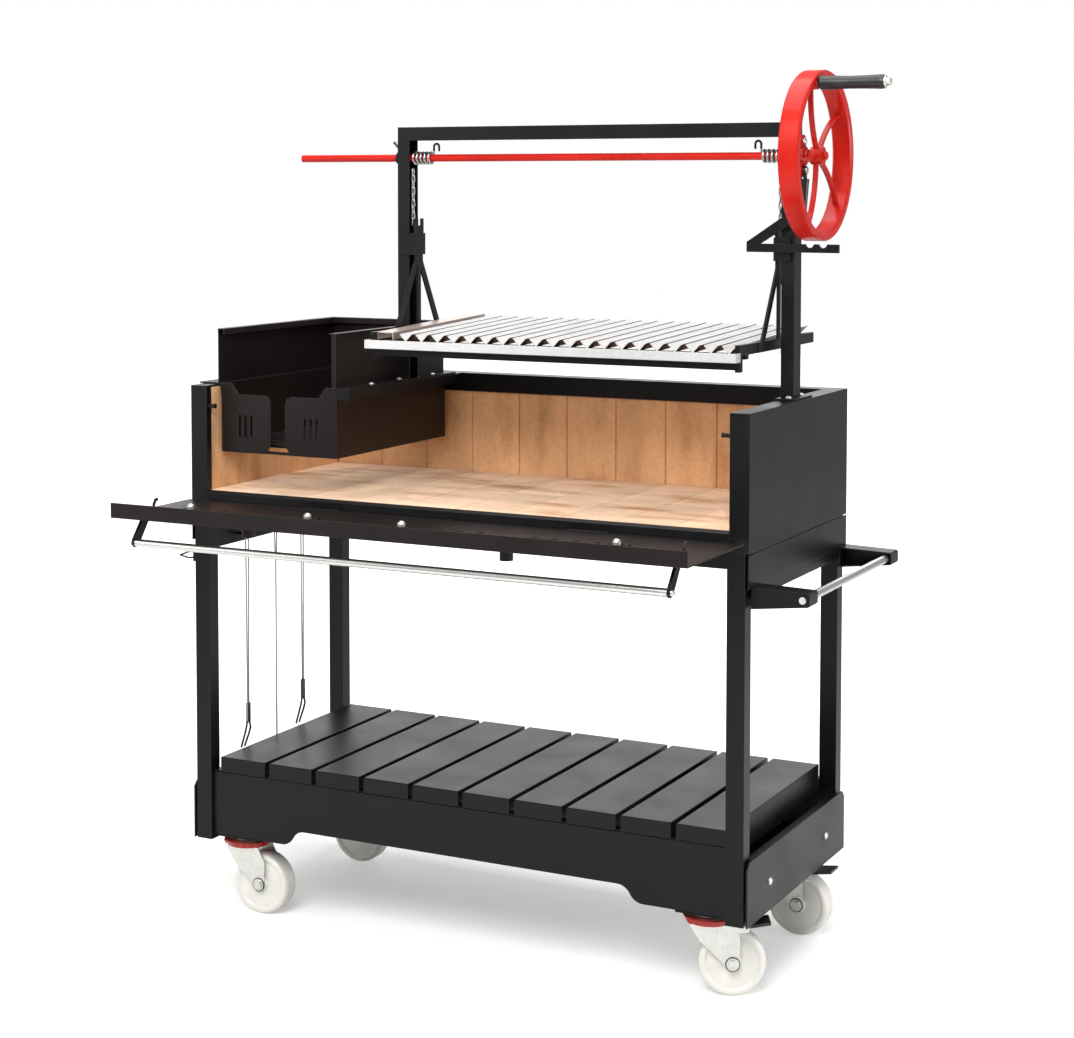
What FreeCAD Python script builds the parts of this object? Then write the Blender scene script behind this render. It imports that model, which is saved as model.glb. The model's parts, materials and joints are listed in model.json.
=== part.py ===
import FreeCAD, Part
import math
import os

os.makedirs("parts", exist_ok=True)

Vec = FreeCAD.Vector
X_AXIS = Vec(1, 0, 0)
Y_AXIS = Vec(0, 1, 0)
Z_AXIS = Vec(0, 0, 1)

# ---------------------------------------------------------------- driving sizes, mm
CART_WIDTH = 1200.0
CART_DEPTH = 540.0
HALF_W = CART_WIDTH / 2
HALF_D = CART_DEPTH / 2
LEG_BOTTOM = 152.0
SHELF_TOP = 324.0
FIREBOX_BOTTOM = 830.0
FIREBOX_TOP = 1081.0
BEAM_TOP = 1603.0
SHEET = 3.0

# legs and lower frame
LEG_X, LEG_Y, LEG_INSET = 40.0, 30.0, 5.0
TUBE_WALL = 2.5
SLAT_COUNT, SLAT_PITCH, SLAT_GAP, SLAT_HEIGHT = 10, 110.6, 11.0, 30.0
SLAT_LEFT_X, SLAT_RIGHT_X, FIRST_GAP_X = -540.0, 559.0, -428.5
SLAT_FRONT_Y, SLAT_REAR_Y = -264.0, 240.0
APRON_LOW, APRON_ARCH = 163.0, 194.0
ARCH_START, ARCH_END = 395.0, 343.0
SIDE_APRON_TOP, SIDE_APRON_FLANGE = 270.0, 16.0
APRON_SETBACK = 8.0
CASTER_X, CASTER_FRONT_Y, CASTER_REAR_Y = 508.0, -212.0, 170.0
CASTER_TURN = 27.0

# cradle under the firebox
CRADLE_BOTTOM = 766.0
SIDE_RAIL_LOW = 745.0
RAIL_WIDTH = 25.0
COVER = 2.0
SEAM = 2.5
RAIL_SIZE = 30.0

# firebox
FIRE_HALF = HALF_W + COVER
INNER_X = 564.0
RETURN_DEPTH = 16.0
FLOOR_BRICK_TOP = 869.0
BRICK_COUNT = 10
BRICK_JOINT = 0.8
BACK_BRICK_FACE = 233.0
BACK_BRICK_DEPTH = 32.0
SIDE_BRICK_COUNT = 4
FRONT_RAIL_DEPTH = 8.0
RIM_LOW, RIM_FACE = 1042.0, 230.0
CATCH_Z, CATCH_Y, CATCH_R = 1040.0, -HALF_D + 7.0, 4.0

# lifting frame
FRAME_Y = 24.0
POST_X, POST_Y, POST_WALL = 26.0, 38.0, 3.0
LEFT_POST_X0 = -277.0
RIGHT_POST_X1 = 584.0
BEAM_HEIGHT, BEAM_DEPTH = 27.0, 40.0
FOOT_THICK, FOOT_LENGTH = 4.0, 98.0
FRAME_MID_X = (LEFT_POST_X0 + RIGHT_POST_X1) / 2

# winch
SHAFT_Z, SHAFT_R = 1540.0, 7.5
SHAFT_LEFT_X, SHAFT_RIGHT_X = -519.0, 640.0
RUN = 0.05
WHEEL_R, RIM_THICK, RIM_X0, RIM_X1 = 160.0, 16.0, 600.0, 639.0
SPOKE_COUNT, SPOKE_ANGLE = 5, 104.0
CRANK_R, CRANK_ANGLE = 142.0, 110.0

# grate
GRATE_HALF = 391.0
GRATE_X0, GRATE_X1 = FRAME_MID_X - GRATE_HALF, FRAME_MID_X + GRATE_HALF
GRATE_Y0, GRATE_Y1 = -172.0, 229.0
ARM_WIDTH, ARM_LOW, ARM_HIGH = 10.0, 1174.0, 1194.0
VEE_COUNT, VEE_PITCH, VEE_WIDTH, VEE_DEPTH, VEE_WALL = 20, 35.9, 29.0, 15.0, 2.0
VEE_RISE = 16.0

# door, shown open
DOOR_OUT = 542.0
DOOR_PLATE_TOP = 851.0
LIP_HEIGHT = 26.0
KNUCKLE_R = 5.5
HINGE_Y, HINGE_Z, HINGE_R = -276.5, 846.0, 3.0

# wood basket
BASKET_X0, BASKET_X1 = -558.0, -282.0
BASKET_Y0, BASKET_Y1 = -226.0, 212.0
BASKET_LOW = 944.0
GUARD_TOP = 1194.0
LEFT_FLANGE_X = -612.0

# casters
CASTER_WHEEL_R, CASTER_WHEEL_W, CASTER_TRAIL = 62.5, 40.0, 40.0
CASTER_PLATE_TOP = 158.0


# ---------------------------------------------------------------- helpers
def box(x0, x1, y0, y1, z0, z1):
    return Part.makeBox(x1 - x0, y1 - y0, z1 - z0, Vec(x0, y0, z0))


def rod(start, end, radius):
    """A round bar from one point to another."""
    along = end.sub(start)
    return Part.makeCylinder(radius, along.Length, start, along)


def rod_x(x0, x1, y, z, radius):
    return rod(Vec(x0, y, z), Vec(x1, y, z), radius)


def rod_y(x, y0, y1, z, radius):
    return rod(Vec(x, y0, z), Vec(x, y1, z), radius)


def rod_z(x, y, z0, z1, radius):
    return rod(Vec(x, y, z0), Vec(x, y, z1), radius)


def bent_rod(points, radius):
    """A round bar through several points, rounded at the corners."""
    pieces = [rod(first, second, radius) for first, second in zip(points, points[1:])]
    pieces += [Part.makeSphere(radius, corner) for corner in points[1:-1]]
    return fused(pieces)


def tube(start, end, outer, inner):
    return rod(start, end, outer).cut(rod(start, end, inner))


def fused(shapes):
    """One solid from pieces that touch or overlap."""
    result = shapes[0].fuse(shapes[1:]).removeSplitter()
    return result.Solids[0] if len(result.Solids) == 1 else result


def group(shapes):
    """Separate solids kept in one node."""
    solids = []
    for shape in shapes:
        solids.extend(shape.Solids)
    return Part.makeCompound(solids)


def mirror_x(shape, at=0.0):
    return shape.mirror(Vec(at, 0, 0), X_AXIS)


def moved(shape, x=0.0, y=0.0, z=0.0):
    copy = shape.copy()
    copy.translate(Vec(x, y, z))
    return copy


def plate(points, normal_offset):
    """A flat plate: the closed outline pushed along a vector."""
    wire = Part.makePolygon(points + [points[0]])
    return Part.Face(wire).extrude(normal_offset)


def open_tray(x0, x1, y0, y1, z0, z1, wall):
    """A box open underneath, as folded from sheet."""
    outer = box(x0, x1, y0, y1, z0, z1)
    inner = box(x0 + wall, x1 - wall, y0 + wall, y1 - wall, z0 - wall, z1 - wall)
    return outer.cut(inner)


def dome_bolt(base, direction, head_r, head_h, shank_r, shank_len):
    """A bolt with a domed head standing on a face, its shank going the other way."""
    way = Vec(direction)
    way.normalize()
    collar_h = head_h * 0.45
    ball_h = head_h - collar_h
    ball_r = (head_r ** 2 + ball_h ** 2) / (2 * ball_h)
    collar = Part.makeCylinder(head_r, collar_h, base, way)
    centre = base.add(way.multiply(collar_h + ball_h - ball_r))
    way = Vec(direction)
    way.normalize()
    cap = Part.makeSphere(ball_r, centre).common(
        Part.makeCylinder(head_r, ball_h, base.add(Vec(way).multiply(collar_h)), way)
    )
    shank = Part.makeCylinder(shank_r, shank_len, base, Vec(way).multiply(-1))
    return fused([collar, cap, shank])


def revolve_about_x(points, y, z):
    """A turned part from (x, radius) points, about the line through (y, z)."""
    outline = [Vec(px, y, z + pr) for px, pr in points]
    face = Part.Face(Part.makePolygon(outline + [outline[0]]))
    return face.revolve(Vec(0, y, z), X_AXIS, 360)


# ---------------------------------------------------------------- cart frame
def corner_legs():
    legs = []
    for sx in (-1, 1):
        for sy in (-1, 1):
            x0, x1 = sorted((sx * (HALF_W - LEG_INSET), sx * (HALF_W - LEG_X)))
            y0, y1 = sorted((sy * HALF_D, sy * (HALF_D - LEG_Y)))
            outer = box(x0, x1, y0, y1, LEG_BOTTOM, FIREBOX_BOTTOM)
            inner = box(
                x0 + TUBE_WALL, x1 - TUBE_WALL, y0 + TUBE_WALL, y1 - TUBE_WALL,
                LEG_BOTTOM - 1, FIREBOX_BOTTOM - TUBE_WALL,
            )
            legs.append(outer.cut(inner))
    return group(legs)


def apron_outline(y):
    """Outline of the arched apron: low ends, raised middle, an S-curve between."""
    end_x = HALF_W - LEG_X
    top = SHELF_TOP - SLAT_HEIGHT - SEAM
    run = (ARCH_START - ARCH_END) / 2
    rise = (APRON_ARCH - APRON_LOW) / 2
    radius = (run ** 2 + rise ** 2) / (2 * rise)
    half = math.asin(run / radius) / 2
    middle_x = (ARCH_START + ARCH_END) / 2
    middle_z = APRON_LOW + rise

    def low_arc(side):
        bend = Vec(side * (ARCH_START - radius * math.sin(half)), y,
                   APRON_LOW + radius * (1 - math.cos(half)))
        return Part.Arc(Vec(side * ARCH_START, y, APRON_LOW), bend,
                        Vec(side * middle_x, y, middle_z)).toShape()

    def high_arc(side):
        bend = Vec(side * (ARCH_END + radius * math.sin(half)), y,
                   APRON_ARCH - radius * (1 - math.cos(half)))
        return Part.Arc(Vec(side * middle_x, y, middle_z), bend,
                        Vec(side * ARCH_END, y, APRON_ARCH)).toShape()

    def line(xa, za, xb, zb):
        return Part.makeLine(Vec(xa, y, za), Vec(xb, y, zb))

    edges = [
        line(-end_x, top, -end_x, APRON_LOW), line(-end_x, APRON_LOW, -ARCH_START, APRON_LOW),
        low_arc(-1), high_arc(-1), line(-ARCH_END, APRON_ARCH, ARCH_END, APRON_ARCH),
        high_arc(1), low_arc(1), line(ARCH_START, APRON_LOW, end_x, APRON_LOW),
        line(end_x, APRON_LOW, end_x, top), line(end_x, top, -end_x, top),
    ]
    return Part.Face(Part.Wire(edges))


def end_aprons():
    front_y = -HALF_D + APRON_SETBACK
    front = apron_outline(front_y).extrude(Vec(0, SHEET, 0))
    rear = apron_outline(-front_y).extrude(Vec(0, -SHEET, 0))
    return group([front, rear])


APRON_BOLT_Y, APRON_BOLT_Z = 156.0, 207.5
SIDE_RAIL_X0 = HALF_W - 30.0


def side_aprons():
    chamfer = 12.0
    points = [
        Vec(HALF_W, -HALF_D, LEG_BOTTOM), Vec(HALF_W, -HALF_D, SIDE_APRON_TOP - chamfer),
        Vec(HALF_W, -HALF_D + chamfer, SIDE_APRON_TOP), Vec(HALF_W, HALF_D - chamfer, SIDE_APRON_TOP),
        Vec(HALF_W, HALF_D, SIDE_APRON_TOP - chamfer), Vec(HALF_W, HALF_D, LEG_BOTTOM),
    ]
    flange = box(HALF_W + SHEET - SIDE_APRON_FLANGE, HALF_W + SHEET, -HALF_D + LEG_Y, HALF_D - LEG_Y,
                 SIDE_APRON_TOP - SHEET, SIDE_APRON_TOP)
    right = fused([plate(points, Vec(SHEET, 0, 0)), flange])
    for y in (-APRON_BOLT_Y, APRON_BOLT_Y):
        right = right.cut(rod_x(HALF_W - 5, HALF_W + 5, y, APRON_BOLT_Z, 4.05))
    return group([right, mirror_x(right)])


def shelf_rails():
    """The rails inside the aprons: under the slats, behind the side aprons and over the casters."""
    top = SHELF_TOP - SLAT_HEIGHT
    inside_y = HALF_D - APRON_SETBACK - SHEET
    end_x = HALF_W - LEG_X
    front = box(-end_x, end_x, -inside_y, -inside_y + 25, top - RAIL_SIZE, top)
    rear = box(-end_x, end_x, inside_y - 25, inside_y, top - RAIL_SIZE, top)
    side = box(SIDE_RAIL_X0, HALF_W, -HALF_D + LEG_Y, HALF_D - LEG_Y, 188, 228)
    for y in (-APRON_BOLT_Y, APRON_BOLT_Y):
        side = side.cut(rod_x(SIDE_RAIL_X0 - 1, HALF_W + 1, y, APRON_BOLT_Z, 4.05))
    over_caster = box(CASTER_X - 50, CASTER_X + 50, -inside_y, inside_y, CASTER_PLATE_TOP, 188)
    hollow = box(CASTER_X - 47, CASTER_X + 47, -inside_y - 1, inside_y + 1, CASTER_PLATE_TOP + 3, 185)
    over_caster = over_caster.cut(hollow)
    slat_ends = [box(x, x + 30, -inside_y + 25, inside_y - 25, top - RAIL_SIZE, top)
                 for x in (SLAT_LEFT_X, SLAT_RIGHT_X - 30)]
    return group([front, rear, side, mirror_x(side), over_caster, mirror_x(over_caster)] + slat_ends)


def shelf_slats():
    """Folded trays side by side, the two end ones reaching nearly to the legs."""
    gaps = [FIRST_GAP_X + index * SLAT_PITCH for index in range(SLAT_COUNT - 1)]
    lefts = [SLAT_LEFT_X] + [gap + SLAT_GAP / 2 for gap in gaps]
    rights = [gap - SLAT_GAP / 2 for gap in gaps] + [SLAT_RIGHT_X]
    slats = []
    for x0, x1 in zip(lefts, rights):
        slat = open_tray(x0, x1, SLAT_FRONT_Y, SLAT_REAR_Y, SHELF_TOP - SLAT_HEIGHT, SHELF_TOP, 2.0)
        top_edges = [e for e in slat.Edges
                     if all(abs(v.Z - SHELF_TOP) < 1e-6 for v in e.Vertexes)]
        slats.append(slat.makeFillet(1.5, top_edges))
    return group(slats)


def cradle_rails():
    """Side plates under the firebox with an inward foot, and the cross rails between the legs."""
    cover = box(HALF_W, HALF_W + COVER, -HALF_D, HALF_D, CRADLE_BOTTOM, FIREBOX_BOTTOM - SEAM)
    y0, y1 = -HALF_D + LEG_Y, HALF_D - LEG_Y
    tube_out = box(HALF_W - RAIL_WIDTH, HALF_W, y0, y1, SIDE_RAIL_LOW, FIREBOX_BOTTOM)
    core = box(HALF_W - RAIL_WIDTH + SHEET, HALF_W - SHEET, -HALF_D + LEG_Y - 1, HALF_D - LEG_Y + 1,
               SIDE_RAIL_LOW + SHEET, FIREBOX_BOTTOM - SHEET)
    side = fused([cover, tube_out.cut(core)])
    end_x = HALF_W - LEG_X
    front = box(-end_x, end_x, -HALF_D + 2, -HALF_D + LEG_Y, FIREBOX_BOTTOM - RAIL_SIZE, FIREBOX_BOTTOM)
    rear = box(-end_x, end_x, HALF_D - LEG_Y, HALF_D - 2, FIREBOX_BOTTOM - RAIL_SIZE, FIREBOX_BOTTOM)
    return group([side, mirror_x(side), front, rear])


# ---------------------------------------------------------------- firebox
def firebox_floor_pan():
    """Floor sheet, with the front rail that holds the bricks folded up from it."""
    floor = box(-HALF_W, HALF_W, -HALF_D, HALF_D - SHEET, FIREBOX_BOTTOM, FIREBOX_BOTTOM + SHEET)
    bevel = 5.0
    rail_top = FLOOR_BRICK_TOP
    points = [
        Vec(-INNER_X, -HALF_D, FIREBOX_BOTTOM), Vec(-INNER_X, -HALF_D, rail_top - bevel),
        Vec(-INNER_X, -HALF_D + bevel, rail_top), Vec(-INNER_X, -HALF_D + FRONT_RAIL_DEPTH, rail_top),
        Vec(-INNER_X, -HALF_D + FRONT_RAIL_DEPTH, FIREBOX_BOTTOM),
    ]
    rail = plate(points, Vec(2 * INNER_X, 0, 0))
    return fused([floor, rail])


def firebox_side_panels():
    """Folded side walls: outer sheet, front return and top flange, open inside for the bricks."""
    z0, z1 = FIREBOX_BOTTOM + SHEET, FIREBOX_TOP
    outer = box(INNER_X, FIRE_HALF, -HALF_D, HALF_D, z0, z1)
    pocket = box(INNER_X - 1, FIRE_HALF - COVER, -HALF_D + RETURN_DEPTH, HALF_D - SHEET, z0 - 1, z1 - SHEET)
    post_core = box(INNER_X + SHEET, FIRE_HALF - COVER, -HALF_D + SHEET, -HALF_D + RETURN_DEPTH + 1,
                    z0 - 1, z1 - SHEET)
    wall = outer.cut(pocket).cut(post_core)
    skirt = box(FIRE_HALF - COVER, FIRE_HALF, -HALF_D, HALF_D, FIREBOX_BOTTOM, z0)
    right = fused([wall, skirt])
    for pin_hole in (catch_hole(), foot_holes()):
        right = right.cut(pin_hole)
    left = mirror_x(fused([wall, skirt]).cut(catch_hole()))
    return group([right, left])


def firebox_back_panel():
    """Back sheet with the rim that covers the top of the back bricks."""
    sheet = box(-INNER_X, INNER_X, HALF_D - SHEET, HALF_D, FIREBOX_BOTTOM, FIREBOX_TOP)
    rim_front = box(-INNER_X, INNER_X, RIM_FACE, RIM_FACE + SHEET, RIM_LOW, FIREBOX_TOP)
    rim_top = box(-INNER_X, INNER_X, RIM_FACE, HALF_D, FIREBOX_TOP - SHEET, FIREBOX_TOP)
    return fused([sheet, rim_front, rim_top])


def brick(x0, x1, y0, y1, z0, z1):
    block = box(x0, x1, y0, y1, z0, z1)
    return block.makeChamfer(1.2, [e for e in block.Edges if e.Length > 40.0])


def floor_bricks():
    """Two rows of firebricks lying on the pan."""
    front_y = -HALF_D + FRONT_RAIL_DEPTH
    pitch = 2 * INNER_X / BRICK_COUNT
    row = (BACK_BRICK_FACE - front_y) / 2
    bricks = []
    for column in range(BRICK_COUNT):
        for line in range(2):
            x0 = -INNER_X + column * pitch
            y0 = front_y + line * row
            bricks.append(brick(x0 + BRICK_JOINT / 2, x0 + pitch - BRICK_JOINT / 2,
                                y0 + BRICK_JOINT / 2, y0 + row - BRICK_JOINT / 2,
                                FIREBOX_BOTTOM + SHEET, FLOOR_BRICK_TOP))
    return group(bricks)


def wall_bricks():
    """The back row of upright firebricks and the four at each side."""
    pitch = 2 * INNER_X / BRICK_COUNT
    top = FIREBOX_TOP - SHEET - 1
    bricks = []
    for column in range(BRICK_COUNT):
        x0 = -INNER_X + column * pitch
        bricks.append(brick(x0 + BRICK_JOINT / 2, x0 + pitch - BRICK_JOINT / 2,
                            BACK_BRICK_FACE + 0.2, BACK_BRICK_FACE + BACK_BRICK_DEPTH,
                            FIREBOX_BOTTOM + SHEET + 0.5, top))
    side_y0 = -HALF_D + RETURN_DEPTH
    side_pitch = (BACK_BRICK_FACE - side_y0) / SIDE_BRICK_COUNT
    for index in range(SIDE_BRICK_COUNT):
        y0 = side_y0 + index * side_pitch
        right = brick(INNER_X + 0.2, HALF_W - 2.0, y0 + BRICK_JOINT / 2,
                      y0 + side_pitch - BRICK_JOINT / 2, FIREBOX_BOTTOM + SHEET + 0.5, top)
        bricks.extend([right, mirror_x(right)])
    return group(bricks)


def catch_hole():
    return rod_x(INNER_X - 1, INNER_X + SHEET + 1, CATCH_Y, CATCH_Z, CATCH_R + RUN)


def foot_holes():
    """Holes in the right wall's top flange for the bolts of the post foot."""
    holes = []
    for side in (-1, 1):
        y = FRAME_Y + side * FOOT_BOLT_DY
        holes.append(rod_z(RIGHT_FOOT_MID, y, FIREBOX_TOP - 5, FIREBOX_TOP + 1, 3.05))
    return group(holes)


def catch_pins():
    """Pins through the front edges of the side walls that the door hooks drop over."""
    reach = 15.0
    shank = rod_x(INNER_X - reach, INNER_X + 8, CATCH_Y, CATCH_Z, CATCH_R)
    head = rod_x(INNER_X - reach - 2, INNER_X - reach, CATCH_Y, CATCH_Z, CATCH_R + 1)
    pin = fused([shank, head])
    return group([pin, mirror_x(pin)])


# ---------------------------------------------------------------- door and dampers
HINGE_LUG_X = (-560.0, 0.0, 560.0)
LUG_HALF = 5.0
KNUCKLE_X = (-290.0, 290.0)
KNUCKLE_LENGTH = 80.0


def door_hinge_rod():
    """The long hinge rod under the front rail, held by three lugs."""
    bar = rod_x(-575, 575, HINGE_Y, HINGE_Z, HINGE_R)
    lugs = [box(x - 6, x + 6, HINGE_Y - LUG_HALF, -HALF_D, HINGE_Z - LUG_HALF, HINGE_Z + LUG_HALF)
            for x in HINGE_LUG_X]
    return fused([bar] + lugs)


VENT_PITCH = 42.0
VENT_R = 8.0
VENT_Y = -407.0
VENT_GAP = 110.0
DAMPERS = {"left": (-372.0, 2), "right": (187.5, 4)}
DAMPER_WIDTH = 34.0
DAMPER_THICK = 2.5
DAMPER_TRAVEL = 12.0
DAMPER_END = 20.0
STUD_HOLE_R = 4.05
KNOB_R, KNOB_DEPTH = 12.5, 40.0


def vent_offsets(per_side):
    """Hole positions of one damper, the same each side of its knob."""
    right = [VENT_GAP / 2 + index * VENT_PITCH for index in range(per_side)]
    return [-x for x in right] + right


def stud_offset(per_side):
    """Distance from the knob to the stud beyond the last vent."""
    return VENT_GAP / 2 + (per_side - 1) * VENT_PITCH + 0.9 * VENT_PITCH


def door_panel():
    """Flat flap with an upturned front lip, hinge knuckles, vent holes and two hooks."""
    under = DOOR_PLATE_TOP - SHEET
    rear_y = HINGE_Y - KNUCKLE_R - 2.1
    half = HALF_W - 3
    flap = box(-half, half, -DOOR_OUT, rear_y, under, DOOR_PLATE_TOP)
    lip = box(-half, half, -DOOR_OUT, -DOOR_OUT + SHEET, under, DOOR_PLATE_TOP + LIP_HEIGHT)
    pieces = [flap, lip]
    for x in KNUCKLE_X:
        barrel = rod_x(x - KNUCKLE_LENGTH / 2, x + KNUCKLE_LENGTH / 2, HINGE_Y, HINGE_Z, KNUCKLE_R)
        half = KNUCKLE_LENGTH / 2
        leaf = box(x - half, x + half, rear_y - 20, HINGE_Y, under - 2, under + 1)
        pieces += [barrel, leaf]
    for side in (-1, 1):
        pieces.append(door_hook(side))
    shape = fused(pieces)
    for x in KNUCKLE_X:
        shape = shape.cut(rod_x(x - KNUCKLE_LENGTH, x + KNUCKLE_LENGTH, HINGE_Y, HINGE_Z, HINGE_R + RUN))
    for mid, per_side in DAMPERS.values():
        for offset in vent_offsets(per_side):
            shape = shape.cut(rod_z(mid + offset, VENT_Y, under - 1, under + 9, VENT_R))
        slot = DAMPER_TRAVEL + 5
        shape = shape.cut(box(mid - slot, mid + slot, VENT_Y - 4, VENT_Y + 4, under - 1, under + 9))
        for side in (-1, 1):
            x = mid + side * stud_offset(per_side)
            shape = shape.cut(rod_z(x, VENT_Y, under - 1, under + 9, STUD_HOLE_R))
    return shape


HOOK_X = 556.0
HOOK_Y = -462.0


def door_hook(side):
    """A bent tongue standing on the flap that catches the pin when the door is shut."""
    points = [(0, 0), (0, 17), (7, 27), (14, 27), (14, 23), (8, 21), (4, 15), (4, 0)]
    x0 = side * HOOK_X - 2
    outline = [Vec(x0, HOOK_Y + dy, DOOR_PLATE_TOP - 1 + dz) for dy, dz in points]
    return plate(outline, Vec(4, 0, 0))


def damper(mid, per_side):
    """A sliding strip over the vents, with its knob under the flap."""
    low = DOOR_PLATE_TOP + RUN
    high = low + DAMPER_THICK
    stud_x = stud_offset(per_side)
    under = DOOR_PLATE_TOP - SHEET
    strip = box(mid - stud_x - DAMPER_END, mid + stud_x + DAMPER_END,
                VENT_Y - DAMPER_WIDTH / 2, VENT_Y + DAMPER_WIDTH / 2, low, high)
    neck = box(mid - 3.5, mid + 3.5, VENT_Y - 3.5, VENT_Y + 3.5, under - 4, low + 1)
    knob = rod_z(mid, VENT_Y, under - KNOB_DEPTH, under - 3, KNOB_R)
    shape = fused([strip, neck, knob])
    for offset in vent_offsets(per_side):
        shape = shape.cut(rod_z(mid + offset, VENT_Y, low - 1, high + 1, VENT_R))
    for side in (-1, 1):
        x = mid + side * stud_x
        slot_r = STUD_HOLE_R + 0.3
        slot = fused([box(x - DAMPER_TRAVEL - 1, x + DAMPER_TRAVEL + 1, VENT_Y - slot_r, VENT_Y + slot_r,
                          low - 1, high + 1),
                      rod_z(x - DAMPER_TRAVEL - 1, VENT_Y, low - 1, high + 1, slot_r),
                      rod_z(x + DAMPER_TRAVEL + 1, VENT_Y, low - 1, high + 1, slot_r)])
        shape = shape.cut(slot)
    return shape


def door_nuts():
    """The domed nuts and studs that the dampers slide on."""
    nuts = []
    for mid, per_side in DAMPERS.values():
        for side in (-1, 1):
            seat = Vec(mid + side * stud_offset(per_side), VENT_Y, DOOR_PLATE_TOP + DAMPER_THICK + 3 * RUN)
            grip = DAMPER_THICK + 3 * RUN + SHEET
            nuts.append(dome_bolt(seat, Z_AXIS, 8.0, 11.0, STUD_HOLE_R - RUN, grip))
    return group(nuts)


HANDLE_Y, HANDLE_Z, HANDLE_R = -520.0, 800.0, 7.5
HANDLE_HALF, HANDLE_ARM, HANDLE_BOLT_R = 556.0, 6.0, 2.9


def door_handle_arms():
    """The two slanting straps that carry the handle bar below the lip."""
    under = DOOR_PLATE_TOP - SHEET
    outline = [(25, under), (47, under), (8, HANDLE_Z - 6), (-2, HANDLE_Z - 9), (-9, HANDLE_Z - 2),
               (-7, HANDLE_Z + 7)]
    arms = []
    for side in (-1, 1):
        x0 = side * HANDLE_HALF - HANDLE_ARM / 2
        x1 = x0 + HANDLE_ARM
        arm = plate([Vec(x0, HANDLE_Y + dy, z) for dy, z in outline], Vec(HANDLE_ARM, 0, 0))
        foot = box(x0, x1, HANDLE_Y + 14, HANDLE_Y + 60, under - 3, under)
        hole = rod_x(x0 - 1, x1 + 1, HANDLE_Y, HANDLE_Z, HANDLE_BOLT_R + RUN)
        arms.append(fused([arm, foot]).cut(hole))
    return group(arms)


def door_handle_bar():
    """The stainless tube between the arms, turned down at each end to a bolt through the arm."""
    shoulder = HANDLE_HALF - HANDLE_ARM / 2 - RUN
    face = HANDLE_HALF + HANDLE_ARM / 2 + RUN
    right = [(0, HANDLE_R), (shoulder, HANDLE_R), (shoulder, HANDLE_BOLT_R), (face, HANDLE_BOLT_R),
             (face, 6.5), (face + 3, 6.0), (face + 5, 3.5), (face + 5, 0)]
    left = [(-x, r) for x, r in reversed(right[1:])]
    return revolve_about_x(left + right, HANDLE_Y, HANDLE_Z)


# ---------------------------------------------------------------- lifting frame
def c_post(x0, open_side):
    """A vertical channel, open towards the grate."""
    y0, y1 = FRAME_Y - POST_Y / 2, FRAME_Y + POST_Y / 2
    low = FIREBOX_TOP + FOOT_THICK
    high = BEAM_TOP - BEAM_HEIGHT
    outer = box(x0, x0 + POST_X, y0, y1, low, high)
    if open_side > 0:
        inner = box(x0 + POST_WALL, x0 + POST_X + 1, y0 + POST_WALL, y1 - POST_WALL, low - 1, high + 1)
    else:
        inner = box(x0 - 1, x0 + POST_X - POST_WALL, y0 + POST_WALL, y1 - POST_WALL, low - 1, high + 1)
    return outer.cut(inner)


FOOT_BOLT_DY = 34.0
COLLAR_LENGTH, COLLAR_R = 9.0, 12.5
RIGHT_FOOT_X0, RIGHT_FOOT_X1 = RIGHT_POST_X1 - POST_X, RIGHT_POST_X1 + 13.0
RIGHT_FOOT_MID = (RIGHT_FOOT_X0 + RIGHT_FOOT_X1) / 2 + 2.0


def foot_plate(x0, x1, middle):
    half = FOOT_LENGTH / 2
    foot = box(x0, x1, FRAME_Y - half, FRAME_Y + half, FIREBOX_TOP, FIREBOX_TOP + FOOT_THICK)
    for side in (-1, 1):
        y = FRAME_Y + side * FOOT_BOLT_DY
        foot = foot.cut(rod_z(middle, y, FIREBOX_TOP - 1, FIREBOX_TOP + 5, 3.05))
    return foot


def lift_posts():
    """Both channels with their feet; the left one carries the shaft collar."""
    left = c_post(LEFT_POST_X0, 1)
    right = c_post(RIGHT_POST_X1 - POST_X, -1)
    left_foot = foot_plate(RAIL_X0 + 1, RAIL_X1, (RAIL_X0 + RAIL_X1) / 2)
    right_foot = foot_plate(RIGHT_FOOT_X0, RIGHT_FOOT_X1, RIGHT_FOOT_MID)
    collar = rod_x(LEFT_POST_X0 - COLLAR_LENGTH, LEFT_POST_X0, FRAME_Y, SHAFT_Z, COLLAR_R)
    left = fused([left, left_foot, collar])
    right = fused([right, right_foot])
    hole = rod_x(SHAFT_LEFT_X, SHAFT_RIGHT_X, FRAME_Y, SHAFT_Z, SHAFT_R + RUN)
    wide_hole = rod_x(0, SHAFT_RIGHT_X, FRAME_Y, SHAFT_Z, SHAFT_R + 2)
    stud_hole = rod_z(LOCK_X, FRAME_Y, SHAFT_Z + SHAFT_R + 1, SHAFT_Z + 14, LOCK_SCREW_R)
    return group([left.cut(hole).cut(stud_hole), right.cut(wide_hole)])


def top_beam():
    x0, x1 = LEFT_POST_X0, RIGHT_POST_X1
    y0, y1 = FRAME_Y - BEAM_DEPTH / 2, FRAME_Y + BEAM_DEPTH / 2
    outer = box(x0, x1, y0, y1, BEAM_TOP - BEAM_HEIGHT, BEAM_TOP)
    corners = [e for e in outer.Edges if abs(e.Vertexes[0].Z - e.Vertexes[-1].Z) > 1]
    outer = outer.makeFillet(2.0, corners)
    inner = box(x0 + SHEET, x1 - SHEET, y0 + SHEET, y1 - SHEET, BEAM_TOP - BEAM_HEIGHT - 1, BEAM_TOP - SHEET)
    return outer.cut(inner)


RAIL_X0, RAIL_X1 = -281.0, -251.0
RAIL_FRONT_Y = -232.0
BASKET_BOLT_X = -267.0
BASKET_BOLT_Y = (-120.0, 130.0)


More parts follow.
